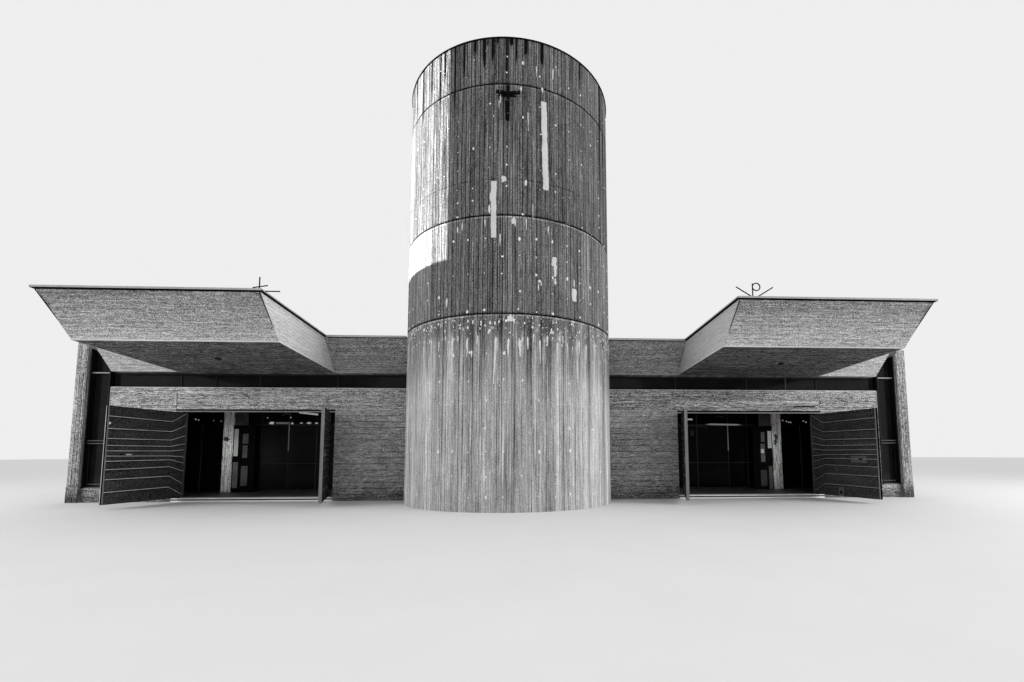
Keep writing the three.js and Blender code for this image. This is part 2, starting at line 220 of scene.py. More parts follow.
def drum_weather(g, value, fine, coarse, joint):
    """What rain, soot and laitance have done to the drum's boards, with the mesh's painted light and shade.
    """
    x, y, z = g.split(g.place)
    arc = g.mul(g.math("ARCTAN2", x, g.sub(DRUM_Y + SHIFT, y)), DRUM_R)

    def drawn(across, down, own, detail=3.0, roughness=0.6):
        return g.noise(g.join(g.mul(arc, across), g.mul(z, down), own), 1.0, detail, roughness)

    # drips, thin dark lines and bleached lines run down over the boards
    drips = drawn(9.0, 0.22, 4.0)
    thin = drawn(30.0, 0.40, 9.0, 1.0, 0.5)
    spill = drawn(6.0, 4.5, 2.0, 4.0)
    value = g.total(value, (drips, 0.14), (thin, 0.22), (g.below(thin, -0.22, -0.15), -0.20),
                    (g.between(thin, 0.15, 0.22), 0.13))
    # the lowest lift is smoother and paler, in upright bands
    lowest = g.below(z, 4.60, LIFTS[1])
    bands = drawn(3.4, 0.18, 6.0, 3.0, 0.65)
    splashed = g.between(g.total(spill, (coarse, 0.6)), 0.10, 0.17)
    splash = g.mul(splashed, g.mul(g.between(z, 3.75, 4.25), lowest))
    value = g.total(value, (g.mul(joint, lowest), 0.16), (g.mul(bands, lowest), 0.55),
                    (g.mul(coarse, lowest), -0.16), (splash, 0.22))
    for height, strong in ((7.97, -0.24), (2.52, 0.07)):  # pour lines
        line = g.below(g.math("ABSOLUTE", g.sub(g.total(z, (coarse, 0.03)), height)), 0.003, 0.015)
        value = g.total(value, (g.mul(line, g.between(spill, -0.10, 0.08)), strong))
    for height in LIFTS[1:4]:  # a darker band over each joint, and washed laitance under it
        away = g.sub(z, height)
        over = g.mul(g.between(away, 0.028, 0.034), g.below(g.total(away, (coarse, 0.10)), 0.04, 0.075))
        under = g.mul(g.between(away, -0.050, -0.034), g.below(away, -0.020, -0.008))
        washed = g.mul(under, g.between(g.total(spill, (fine, 0.5)), -0.14, 0.10, 0.3, 1.0))
        value = g.total(value, (over, -0.10), (washed, 0.06 if height == LIFTS[3] else 0.22))
    # soot and the painted shadow about the cross get crisp ragged edges; paler places, painted light among
    # them, fade
    stain_and_light = g.attribute("stain_and_light")
    soot_and_shadow = g.total(g.mul(stain_and_light, -1.0), (thin, 0.30), (coarse, 0.16), (spill, 0.16))
    return g.total(value, (g.math("MAXIMUM", stain_and_light, 0.0), 1.0), (g.math("MINIMUM", stain_and_light, 0.0), 0.35),
                   (g.between(soot_and_shadow, 0.17, 0.23), -0.42))


def concrete(name, base, tone=0.04, lines=0.12, pale=0.04, grain=0.34, dash=0.08, cloud=0.14, grit=0.4,
             axes=None, shade=None, ground_dirt_and_shade=0.0, drum=False, fineness=1.65):
    """Board-marked concrete. With axes = (along, across) the boards are worked out from the place, and
    otherwise they come from the mesh's own board coordinates. shade = (low z, high z, at low, at high) is how
    it grows paler or darker with height, and the value after it darkens it near the ground: dirt, and painted
    shade."""
    g = Graph(name)
    if axes:
        place = g.split(g.place)
        u, v = place[axes[0]], place[axes[1]]
        rows = g.math("DIVIDE", v, BOARD)
        row = g.math("FLOOR", rows)
        share = g.math("FRACT", rows)
        start = g.mul(g.white(g.join(row, 3.0, 1.0)), BOARD_LENGTH)
        number = g.math("FLOOR", g.math("DIVIDE", g.math("ADD", u, start), BOARD_LENGTH))
        chance = g.white(g.join(row, number, 7.0))
        own = g.mul(g.sub(chance, 0.5), 3.2)
    else:
        u, v, _ = g.uv("boards")
        share, chance, _ = g.uv("edge")
        own = g.attribute("tone")
    z = g.split(g.place)[2]
    other = g.math("FRACT", g.mul(chance, 7.31))
    along = g.join(u, v, g.mul(chance, 9.0))
    # the sawn boards' own figure: dashes a board's thickness apart, and longer wisps
    fine = g.noise(along, 1.0, 3.0, 0.6, (3.2 * fineness, 34.0 * fineness, 1.0))
    wisps = g.noise(along, 1.0, 4.0, 0.65, (0.9, 17.0 * fineness, 1.0))
    broad = g.noise(along, 1.0, 3.0, 0.6, (0.3, 8.0 * fineness, 1.0))
    clouds = g.noise(g.place, 0.5, 6.0, 0.62)
    coarse = g.noise(g.place, 29.0 * fineness, 3.0, 0.7)
    sand = g.noise(g.place, 120.0, 2.0, 0.6)
    dashes = g.total(fine, (coarse, 0.4))
    edge = g.mul(g.math("MINIMUM", share, g.sub(1.0, share)), BOARD)
    joint = g.below(g.total(edge, (coarse, 0.008)), 0.004, 0.013)
    beside = g.below(g.math("ABSOLUTE", g.sub(edge, 0.024)), 0.0, 0.010)
    strength = g.between(chance, 0.20, 0.80, 0.25, 1.0)
    pits = g.below(g.cells(g.place, 13.0), 0.03, 0.15)
    value = g.total(
        base, (own, tone), (fine, grain), (wisps, grain * 0.9), (broad, grain * 0.4), (clouds, cloud),
        (coarse, grit), (sand, 0.2), (g.between(dashes, 0.05, 0.15), dash),
        (g.below(dashes, -0.15, -0.05), -dash), (g.mul(joint, strength), -lines),
        (g.mul(beside, g.between(other, 0.3, 0.95)), pale), (pits, -0.12),
    )
    if shade:
        value = g.math("ADD", value, g.between(g.total(z, (clouds, 0.5)), *shade))
    # darker near the ground: splashed dirt, with painted shade there too
    if ground_dirt_and_shade:
        value = g.total(value, (g.below(g.total(z, (coarse, 1.2), (clouds, 0.8)), 0.10, 0.55), -ground_dirt_and_shade))
    if drum:
        value = drum_weather(g, value, fine, coarse, joint)
    height = g.total(0.0, (fine, 0.6), (wisps, 0.4), (coarse, 0.6), (sand, 0.3), (pits, -0.5), (joint, -0.6))
    return g.finish(value, g.total(0.86, (coarse, 0.25)), height, 0.0035, Specular_IOR_Level=0.12)


def metal(name, base, rough, spread=0.16, metallic=0.7, streak=0.12, shine=0.5):
    g = Graph(name)
    x, y, z = g.split(g.place)
    clouds = g.noise(g.place, 2.3, 5.0, 0.65)
    spots = g.noise(g.place, 42.0, 3.0, 0.7)
    runs = g.noise(g.join(g.mul(x, 16.0), g.mul(y, 16.0), g.mul(z, 1.1)))
    return g.finish(g.total(base, (clouds, spread), (spots, spread), (runs, streak)),
                    g.total(rough, (clouds, 0.35), (spots, 0.25)), g.total(0.0, (spots, 0.5), (clouds, 0.6)),
                    0.0015, 0.4, Metallic=metallic, Specular_IOR_Level=shine)


def door_skin(name, base):
    """Dark painted facing with a fine lengthwise grain, paler where hands and weather have worn it."""
    g = Graph(name)
    u, v, _ = g.uv("boards")
    own = g.attribute("tone")
    along = g.join(u, v, own)
    fine = g.noise(along, 1.0, 3.0, 0.6, (5.0, 150.0, 1.0))
    grain = g.noise(along, 1.0, 4.0, 0.65, (1.2, 34.0, 1.0))
    speckle = g.noise(g.place, 36.0, 4.0, 0.8)
    clouds = g.noise(g.place, 1.1, 5.0, 0.6)
    return g.finish(g.total(base, (own, 0.012), (fine, 0.16), (grain, 0.18), (speckle, 1.15), (clouds, 0.14)),
                    g.total(0.62, (speckle, 0.4), (clouds, 0.3)),
                    g.total(0.0, (fine, 0.6), (grain, 0.8), (speckle, 0.4)), 0.0018, Specular_IOR_Level=0.15)


def glass(name, base, shine):
    g = Graph(name)
    dust = g.noise(g.place, 1.6, 6.0, 0.7)
    film = g.noise(g.place, 38.0, 3.0, 0.7)
    return g.finish(g.total(base, (dust, 0.10), (film, 0.04)), g.total(0.07, (dust, 0.12), (film, 0.05)),
                    Specular_IOR_Level=shine, IOR=1.45)


def felt(name, base=0.34):
    """Mineral roofing felt in lapped strips."""
    g = Graph(name)
    grains = g.noise(g.place, 210.0, 3.0, 0.8)
    clouds = g.noise(g.place, 0.7, 6.0, 0.65)
    puddles = g.between(g.noise(g.place, 0.9, 2.0, 0.5), 0.02, 0.12)
    value = g.total(base, (g.attribute("tone"), 0.02), (grains, 0.22), (clouds, 0.22), (puddles, -0.05))
    return g.finish(value, g.total(0.92, (grains, 0.2)), g.total(0.0, (grains, 0.8), (clouds, 0.5)))


def plaster(name, base, spread, shine=0.4):
    g = Graph(name)
    clouds = g.noise(g.place, 3.1, 6.0, 0.65)
    sand = g.noise(g.place, 75.0, 4.0, 0.75)
    return g.finish(g.total(base, (clouds, spread), (sand, spread * 1.3)), g.total(0.88, (sand, 0.2)),
                    g.total(0.0, (clouds, 0.3), (sand, 0.7)), Specular_IOR_Level=shine)


def lamp_glass(name, base, spread, glow):
    material = plaster(name, base, spread)
    sockets = material.node_tree.nodes["Principled BSDF"].inputs
    sockets["Emission Color"].default_value = (1, 1, 1, 1)
    sockets["Emission Strength"].default_value = glow
    return material


def terrazzo(name, base):
    g = Graph(name)
    x, y, _ = g.split(g.place)
    chips = g.between(g.cells(g.place, 55.0), 0.18, 0.42, 0.5, -0.5)
    joint = g.below(g.math("MINIMUM", g.math("PINGPONG", x, 0.4), g.math("PINGPONG", y, 0.4)), 0.0, 0.004)
    clouds = g.noise(g.place, 0.9, 4.0, 0.6)
    return g.finish(g.total(base, (chips, 0.12), (clouds, 0.12), (joint, -0.22)),
                    g.total(0.42, (clouds, 0.3)), g.total(0.0, (joint, -1.0)), 0.002)


# the numbers after a concrete's name are its base, tone, lines, pale, grain, dash, cloud and grit
DRUM = concrete("drum_boards", 0.335, 0.026, 0.40, 0.14, 0.22, 0.03, 0.05, 0.56, drum=True, fineness=1.0)
DRUM_CORE = concrete("drum_core", 0.30, lines=0.08, axes=(2, 0))
FACE = concrete("canopy_boards", 0.60, 0.012, 0.06, 0.0, 0.48, 0.05, 0.12, 1.6,
                shade=(3.85, 4.80, 0.06, -0.10))
# the cheeks are paler than the canopy's front as painted light from the side, and the right cheeks take a
# darker copy as painted shade
CHEEK = concrete("cheek_boards", 0.78, 0.010, 0.08, 0.0, 0.50, 0.06, 0.22, 2.8)
DIM_CHEEK = concrete("dim_cheek_boards", 0.69, 0.010, 0.05, 0.0, 0.32, 0.03, 0.16, 2.0)
# the fascia between drum and canopy is darker, partly for its streaks and partly as painted shade from the
# canopy and drum; MAIN_END is the paler copy for the open outer stretch
MAIN = concrete("fascia_boards", 0.51, 0.012, 0.06, 0.0, 0.50, 0.06, 0.10, 1.9)
MAIN_END = concrete("fascia_end_boards", 0.70, 0.012, 0.06, 0.0, 0.50, 0.06, 0.10, 1.6)
UNDER = concrete("soffit_boards", 0.31, 0.014, 0.12, 0.0, 0.90, 0.17, 0.14, 1.9)
# the right soffits take this darker copy as painted shade
DIM_UNDER = concrete("dim_soffit_boards", 0.26, 0.014, 0.12, 0.0, 0.90, 0.17, 0.14, 1.9)
BAND = concrete("lintel_boards", 0.56, 0.02, 0.20, 0.05, 0.90, 0.18, 0.18, 2.8)
# the right front wall's band takes this darker copy as painted shade
DIM_BAND = concrete("dim_lintel_boards", 0.50, 0.02, 0.17, 0.05, 0.80, 0.16, 0.16, 2.6)
# the walls and piers darken near the ground: splashed dirt, with painted shade there too
WALL_FACE = concrete("wall_boards", 0.58, 0.014, 0.20, 0.03, 0.36, 0.10, 0.16, 1.9, ground_dirt_and_shade=0.20)
PIER = concrete("pier_boards", 0.49, 0.03, 0.20, 0.10, 0.36, 0.10, 0.16, 1.7, ground_dirt_and_shade=0.24)
POST = concrete("column_boards", 0.84, 0.05, 0.30, 0.10, 1.1, 0.22, 0.18, 1.2, fineness=1.0)
ARRIS = concrete("arris", 0.82, 0.02, 0.03, 0.0, 0.10, 0.0, axes=(0, 2))
# the arris between drum and canopy takes this darker copy as painted shade
DIM_ARRIS = concrete("dim_arris", 0.62, 0.02, 0.03, 0.0, 0.10, 0.0, axes=(0, 2))
CORE_X = concrete("core_lengthwise", 0.46, lines=0.10, axes=(0, 2))
CORE_Y = concrete("core_crosswise", 0.46, lines=0.10, axes=(1, 2))
CORE_UP = concrete("core_upright", 0.46, lines=0.10, axes=(2, 1))
PATCH = plaster("repair_mortar", 0.74, 0.16)
SPOT = plaster("tie_mortar", 0.84, 0.24)
RUN = plaster("laitance", 0.78, 0.26)
SMEAR = plaster("filler_smear", 0.58, 0.30)
SHADE = plaster("shadow_joint", 0.02, 0.01, 0.05)
HOLE = plaster("tie_hole", 0.10, 0.05, 0.05)
# near black: a painted shadow line under each door ledge; the leaves' cores and some of their end strips use
# it too
LEDGE_SHADOW = plaster("ledge_shadow", 0.03, 0.02, 0.05)
STEP = plaster("threshold_stone", 0.90, 0.14)
PAPER = plaster("notice_panel", 0.66, 0.10)
DIM = plaster("dim_notice", 0.33, 0.30)
DARKPAPER = plaster("dark_notice", 0.24, 0.20)
LAMP = lamp_glass("lamp_diffuser", 0.95, 0.04, 0.18)
DIMLAMP = lamp_glass("dim_lamp_diffuser", 0.62, 0.20, 0.10)
FLOOR = terrazzo("terrazzo", 0.42)
FELT = felt("roof_felt")
FLASH = metal("dull_flashing", 0.60, 0.6, metallic=0.2)
RIM = metal("rim_metal", 0.03, 0.7, 0.06, 0.0, shine=0.12)
BLACK = metal("black_frame", 0.03, 0.6, 0.02, 0.0, shine=0.1)
IRON = metal("weathered_iron", 0.08, 0.7, 0.05, 0.1, shine=0.12)
SOOTY = metal("sooty_iron", 0.04, 0.8, 0.02, 0.0, shine=0.08)
BAR = metal("window_bar", 0.34, 0.5, 0.12, 0.4)
DARKBAR = metal("screen_bar", 0.07, 0.5, 0.06, 0.3)
PALEBAR = metal("pale_bar", 0.60, 0.5, 0.12, 0.2)
FRAME = metal("head_frame_metal", 0.52, 0.5, metallic=0.3)
# the ledge metals are paler than the door facing as a painted highlight where light catches the ledges
PALE_LEDGE = metal("pale_ledge_metal", 0.76, 0.55, 0.45, 0.1)
LEDGE = metal("ledge_metal", 0.60, 0.55, 0.36, 0.2)
HEM = metal("dim_hem", 0.42, 0.6, 0.16, 0.2)
CAP = metal("end_cap_metal", 0.44, 0.55, 0.16, 0.2)
PLATE = metal("lock_plate_metal", 0.36, 0.5, 0.16, 0.3)
DARKPLATE = metal("dark_lock_plate_metal", 0.22, 0.5, 0.12, 0.3)
SKIN = door_skin("door_facing", 0.20)
DARKSKIN = door_skin("shaded_door_facing", 0.09)
GLASS = glass("window_glass", 0.12, 0.12)
LEFTGLASS = glass("left_lobby_glass", 0.10, 0.04)
DARKGLASS = glass("right_lobby_glass", 0.06, 0.03)


# Meshes
class Build:
    """Collects faces, each with a tone and board coordinates, and turns them into one piece."""

    def __init__(self, name, seed, matrix=None):
        self.name = name
        self.random = random.Random(seed)
        self.matrix = matrix
        self.points, self.stains_and_light = [], []
        self.faces, self.tones, self.boards, self.edges, self.slots = [], [], [], [], []

    def point(self, p, stain_and_light=0.0):
        if self.matrix is not None:
            p = self.matrix @ Vector(p)
        self.points.append((p[0], p[1] + SHIFT, p[2]))
        self.stains_and_light.append(stain_and_light)
        return len(self.points) - 1

    def face(self, ids, tone=0.0, boards=None, edges=None, slot=0):
        self.faces.append(tuple(ids))
        self.tones.append(tone)
        self.boards.append(boards or [(0.0, 0.0)] * len(ids))
        self.edges.append(edges or [(0.5, 0.5)] * len(ids))
        self.slots.append(slot)

    def skirt(self, lower, upper, slot=0):
        """The faces between two rings of points."""
        for k, m in around(len(lower)):
            self.face([lower[k], lower[m], upper[m], upper[k]], slot=slot)

    def box(self, one, other, slot=0, tone=0.0):
        ends = [sorted(pair) for pair in zip(one, other)]
        corners = [tuple(ends[m][k >> m & 1] for m in range(3)) for k in range(8)]
        ids = [self.point(c) for c in corners]
        long = max(range(3), key=lambda m: ends[m][1] - ends[m][0])
        offset = self.random.uniform(0, 50)
        boards = [(c[long] + offset, sum(c) - c[long]) for c in corners]
        for quad in ((0, 2, 3, 1), (4, 5, 7, 6), (0, 1, 5, 4), (2, 6, 7, 3), (0, 4, 6, 2), (1, 3, 7, 5)):
            self.face([ids[k] for k in quad], tone, [boards[k] for k in quad], slot=slot)

    def prism(self, plane, outline, one, other, slot=0):
        """A straight prism. plane is xz, yz or xy, and one and other are its ends along the third axis."""
        def at(a, b, c):
            return {"xz": (a, c, b), "yz": (c, a, b), "xy": (a, b, c)}[plane]

        lo, hi = sorted((one, other))
        outline = list(outline)
        area = sum(a[0] * b[1] - b[0] * a[1] for a, b in zip(outline, outline[1:] + outline[:1]))
        turn = 1 if (area > 0) != (plane == "xz") else -1
        low, high = [[self.point(at(a, b, c)) for a, b in outline] for c in (lo, hi)]
        self.face(low[::-turn], boards=outline[::-turn], slot=slot)
        self.face(high[::turn], boards=outline[::turn], slot=slot)
        run = 0.0
        for i, j in around(len(outline)):
            step = math.dist(outline[i], outline[j])
            ids = [low[i], low[j], high[j], high[i]]
            uv = [(lo, run), (lo, run + step), (hi, run + step), (hi, run)]
            self.face(ids[::turn], boards=uv[::turn], slot=slot)
            run += step

    def planks(self, a, b, c, d, outward, rows=None, pitch=BOARD, proud=0.005, gap=0.0008, chamfer=0.0012,
               lengths=(5.5, 9.0), step=0.0022, slot=0, common=0.0):
        """Boards along a-b, stacked from a towards d, standing proud of the quad."""
        a, b, c, d = (Vector(p) for p in (a, b, c, d))
        normal = (b - a).cross(d - a).normalized()
        if normal.dot(Vector(outward)) < 0:
            a, b, c, d = b, a, d, c
            normal = -normal
        rows = rows or max(1, round(((d - a).length + (c - b).length) / 2 / pitch))
        long = max((b - a).length, (c - d).length)
        rnd = self.random

        def at(s, t):
            return a.lerp(b, s).lerp(d.lerp(c, s), t)

        for i, (t0, t1) in enumerate(parts(0, 1, rows)):
            cuts = [0.0]
            reach = rnd.uniform(0.3, 1.0) * rnd.uniform(*lengths)
            while reach <= long - 0.6:
                cuts.append(reach / long)
                reach += rnd.uniform(*lengths)
            cuts.append(1.0)
            for s0, s1 in zip(cuts, cuts[1:]):
                tone = common + clamped(rnd.gauss(0, 1), -2.2, 2.2)
                chance, start = rnd.random(), rnd.uniform(0, 40)
                high = proud - rnd.random() * step
                outer = [at(*q) for q in ((s0, t0), (s1, t0), (s1, t1), (s0, t1))]
                wide = (outer[1] - outer[0]).normalized()
                tall = (outer[3] - outer[0]).normalized()
                inward = [wide * sx + tall * sy for sx, sy in ((1, 1), (-1, 1), (-1, -1), (1, -1))]
                lo = [self.point(p + q * (gap / 2)) for p, q in zip(outer, inward)]
                hi = [self.point(p + q * (gap / 2 + chamfer) + normal * high) for p, q in zip(outer, inward)]
                u0, u1 = start + s0 * long, start + s1 * long
                v0, v1 = i * pitch, (i + 1) * pitch
                uv = [(u0, v0), (u1, v0), (u1, v1), (u0, v1)]
                share = [(0.0, chance), (0.0, chance), (1.0, chance), (1.0, chance)]
                self.face(hi, tone, uv, share, slot)
                for k, m in around(4):
                    self.face([lo[k], lo[m], hi[m], hi[k]], tone - 0.3, [uv[k], uv[m], uv[m], uv[k]],
                              [share[k], share[m], share[m], share[k]], slot)

    def wall(self, start, end, z0, z1, outward, upright=False, **how):
        """Boards on an upright face that runs from start to end on plan."""
        a, b, c, d = (*start, z0), (*end, z0), (*end, z1), (*start, z1)
        self.planks(a, *((d, c, b) if upright else (b, c, d)), outward, **how)

    def low_plug(self, centre, normal, across, along, high, slot, sides, rough):
        """A low uneven plug. across and along are half its size, as vectors."""
        lo, hi = [], []
        for k in range(sides):
            angle = math.tau * k / sides
            reach = 1 + self.random.uniform(-rough, rough)
            out = (across * math.cos(angle) + along * math.sin(angle)) * reach
            lo.append(self.point(centre + out))
            hi.append(self.point(centre + out * 0.8 + normal * high))
        self.face(hi, slot=slot)
        self.skirt(lo, hi, slot)

    def disc(self, centre, normal, radius, high, slot=0, sides=9, rough=0.25):
        """A round plug."""
        normal = Vector(normal).normalized()
        side = normal.orthogonal().normalized()
        other = normal.cross(side)
        self.low_plug(Vector(centre), normal, side * radius, other * radius, high, slot, sides, rough)

    def plug(self, centre, normal, wide, tall, high, slot=0, sides=8, rough=0.3):
        """A plug on an upright face, with its own width and height."""
        normal = Vector(normal).normalized()
        across = normal.cross(Vector(UPWARD)).normalized()
        self.low_plug(Vector(centre), normal, across * (wide / 2), Vector(DOWNWARD) * (tall / 2), high, slot,
                      sides, rough)

    def rod(self, start, end, radius, sides, slot=0):
        start, end = Vector(start), Vector(end)
        along = (end - start).normalized()
        side = along.orthogonal().normalized()
        other = along.cross(side)
        turns = [math.tau * k / sides for k in range(sides)]
        low, high = [[self.point(p + (side * math.cos(t) + other * math.sin(t)) * radius) for t in turns]
                     for p in (start, end)]
        self.face(low[::-1], slot=slot)
        self.face(high, slot=slot)
        self.skirt(low, high, slot)

    def done(self, materials, body="building", bevel=0.0, replaces=(), slot="concrete"):
        mesh = bpy.data.meshes.new(self.name)
        mesh.from_pydata(self.points, [], self.faces)
        mesh.update()
        for name, values, domain in (("tone", self.tones, "FACE"), ("stain_and_light", self.stains_and_light, "POINT")):
            mesh.attributes.new(name, "FLOAT", domain).data.foreach_set("value", values)
        for name, values in (("boards", self.boards), ("edge", self.edges)):
            layer = mesh.uv_layers.new(name=name)
            layer.data.foreach_set("uv", [x for face in values for corner in face for x in corner])
        mesh.polygons.foreach_set("material_index", self.slots)
        for m in materials:
            mesh.materials.append(m)
        made = bpy.data.objects.new(self.name, mesh)
        bpy.context.collection.objects.link(made)
        if bevel:
            cut = made.modifiers.new("bevel", "BEVEL")
            cut.width = bevel
            cut.segments = 1
            cut.limit_method = "ANGLE"
            cut.angle_limit = math.radians(40)
        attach(made, body)
        if replaces:
            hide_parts(*replaces)


def paint(material, *names):
    for name in names:
        slots = NODES[name].material_slots
        if not slots:
            NODES[name].data.materials.append(material)
        for s in slots:
            s.material = material


# Drum
DRUM_BOARDS = 156
DRUM_TOP = LIFTS[4]
# weather streaks below the rim: angle from the front in degrees, width, length in metres, strength
STREAKS = [
    (-43.9, 0.8, 1.2, 0.34), (-36.9, 0.8, 1.7, 0.40), (-33.8, 0.8, 0.9, 0.36), (-27.5, 0.75, 2.0, 0.46),
    (-22.3, 0.55, 1.15, 0.38), (-17.2, 0.5, 0.5, 0.42), (-15.9, 0.5, 0.48, 0.40), (-11.9, 0.8, 0.75, 0.52),
    (-11.7, 0.4, 1.1, 0.34), (-10.2, 0.5, 0.2, 0.36), (-7.8, 0.7, 0.68, 0.50), (-5.2, 0.9, 0.16, 0.30),
    (-0.7, 0.45, 1.35, 0.34), (1.4, 1.5, 0.24, 0.34), (3.9, 0.5, 0.75, 0.34), (8.2, 0.8, 0.5, 0.46),
    (9.0, 0.4, 0.8, 0.30), (16.7, 1.0, 0.66, 0.56), (23.6, 0.5, 0.4, 0.22), (34.2, 0.6, 0.7, 0.34),
    (39.6, 0.7, 0.8, 0.40), (59.4, 1.2, 3.4, 0.40), (64.7, 1.2, 3.2, 0.34), (-52.0, 0.9, 2.0, 0.34),
    (-60.0, 1.0, 1.4, 0.32),
]
# pale runs on the lowest lift: angle, height where they start, length, width, strength
RUNS = [
    (-21.0, 4.2, 0.9, 1.0, 0.22), (-13.5, 4.1, 1.1, 1.2, 0.24), (-4.5, 4.05, 1.7, 0.7, 0.38),
    (2.5, 4.5, 1.0, 1.6, 0.22), (7.0, 4.1, 0.8, 0.7, 0.30), (17.5, 4.1, 1.2, 1.0, 0.20),
    (26.0, 4.3, 1.9, 0.8, 0.26), (29.5, 4.4, 1.8, 0.8, 0.28), (36.0, 4.2, 1.6, 0.8, 0.24),
    (-27.0, 4.2, 1.4, 1.0, 0.20), (42.0, 4.0, 1.6, 1.0, 0.20), (-38.0, 4.1, 1.6, 1.0, 0.20),
    (-46.0, 4.3, 1.9, 1.0, 0.20), (50.0, 4.2, 1.9, 1.2, 0.20),
]
# the same weathering goes on round the sides and the back: the least and most of each value
chances = random.Random(50)
MORE_STREAKS = ((68, 300), (0.5, 1.0), (0.4, 2.0), (0.26, 0.5))
MORE_RUNS = ((60, 300), (3.9, 4.4), (0.7, 1.8), (0.7, 1.4), (0.14, 0.3))
for _ in range(26):
    STREAKS.append([chances.uniform(*ends) for ends in MORE_STREAKS])
    RUNS.append([chances.uniform(*ends) for ends in MORE_RUNS])
# laitance that has run down: angle, height, length, width, lean
DRIPS = (
    (-30.8, 4.20, 0.16, 0.6, 0.1), (-26.7, 4.12, 0.42, 1.2, -0.3), (-23.9, 4.16, 0.16, 0.7, 0.1),
    (-18.9, 4.08, 0.46, 1.1, -0.2), (-16.7, 3.78, 0.2, 0.8, 0.0), (-16.2, 4.50, 0.10, 0.8, 0.0),
    (-12.2, 4.48, 0.14, 0.6, 0.2), (-14.6, 4.22, 0.12, 0.4, 0.1), (-13.8, 4.12, 0.2, 0.5, -0.2),
    (-14.2, 4.02, 0.10, 0.7, 0.2), (-8.0, 4.27, 0.12, 1.1, -0.7), (-5.2, 4.08, 1.12, 0.9, -0.9),
    (0.6, 4.06, 0.5, 1.1, -0.2), (5.7, 4.04, 0.45, 1.2, 0.4), (9.6, 4.10, 0.3, 0.8, 0.1),
    (12.4, 4.18, 0.22, 0.7, -0.2), (15.4, 4.05, 0.6, 0.8, 0.2), (19.2, 4.16, 0.26, 1.0, 0.0),
    (24.5, 4.02, 0.7, 0.7, 0.1), (27.4, 4.2, 0.2, 0.7, 0.1), (30.2, 4.05, 0.5, 0.7, 0.1),
    (33.2, 4.0, 0.3, 0.6, 0.0), (37.6, 4.15, 0.35, 0.9, 0.1), (42.8, 4.1, 0.5, 0.8, -0.1),
    (-35.0, 4.1, 0.3, 0.9, 0.0), (-40.2, 4.15, 0.4, 0.8, 0.1), (-46.4, 4.05, 0.5, 0.9, 0.0),
    (50.5, 4.1, 0.5, 1.0, 0.0), (-10.8, 6.98, 0.22, 0.5, 0.1), (-3.6, 6.60, 0.34, 0.7, 0.1),
    (3.3, 6.94, 0.18, 1.0, 0.3), (8.9, 7.0, 0.3, 0.5, 0.1), (19.8, 6.9, 0.25, 0.6, 0.0),
    (12.0, 7.4, 0.5, 0.35, 0.1), (9.6, 9.75, 0.5, 0.5, 0.2), (13.8, 11.0, 0.3, 0.5, 0.1),
    (-4.4, 10.02, 0.26, 0.5, 0.0),
)
# mortar repairs: strips by angles, heights, raggedness and lean, blots by angle, height, width and tallness
STRIPS = (
    (16.55, 19.5, 8.15, 10.1, 0.16, 0.7), (17.0, 20.0, 7.80, 8.2, 0.2), (-7.95, -5.35, 6.50, 7.92),
    (-8.6, -7.6, 7.42, 7.62, 0.2), (21.6, 23.9, 5.9, 6.14, 0.35), (22.6, 24.1, 5.64, 5.95, 0.2),
    (33.0, 36.2, 5.13, 5.45, 0.3),
)
BLOTS = (
    (-1.8, 7.96, 2.7, 0.15), (-2.4, 8.0, 1.2, 0.14), (-8.7, 7.2, 1.1, 0.22), (2.9, 6.93, 1.9, 0.18),
    (8.6, 7.9, 1.4, 0.18), (22.6, 10.93, 0.7, 0.33), (7.1, 11.02, 1.3, 0.12), (15.3, 5.47, 1.6, 0.07),
    (14.8, 5.33, 0.7, 0.18), (16.1, 5.42, 0.5, 0.12), (-3.7, 10.03, 0.8, 0.22), (-30.5, 5.0, 1.2, 0.22),
    (23.4, 5.52, 1.4, 0.16), (34.6, 5.58, 1.0, 0.2), (-24.8, 6.8, 0.8, 0.16), (-22.3, 6.85, 0.7, 0.24),
    (16.9, 10.4, 1.1, 0.16), (6.2, 10.33, 0.9, 0.12), (21.5, 4.25, 2.0, 0.08), (12.0, 4.33, 1.4, 0.07),
)
# form ties in each lift: heights, angle of the first, share that shows, tallness, size
TIES = (
    ((0.35, 0.85, 1.4, 1.95, 2.58, 3.07, 3.7), -1.4, 0.72, 1.6, 1.05),
    ((4.74, 5.18, 5.63, 6.07, 6.5), -2.6, 0.70, 1.2, 1.30),
    ((7.1, 7.47, 7.78, 8.29, 8.8, 9.2, 9.57, 9.95), -0.7, 0.52, 1.1, 1.0),
    ((10.75, 11.15), -0.7, 0.5, 1.1, 1.0),
)


def turn_between(a, b):
    return (a - b + 180) % 360 - 180


def bell(value, power=2):
    return math.exp(-value ** power)


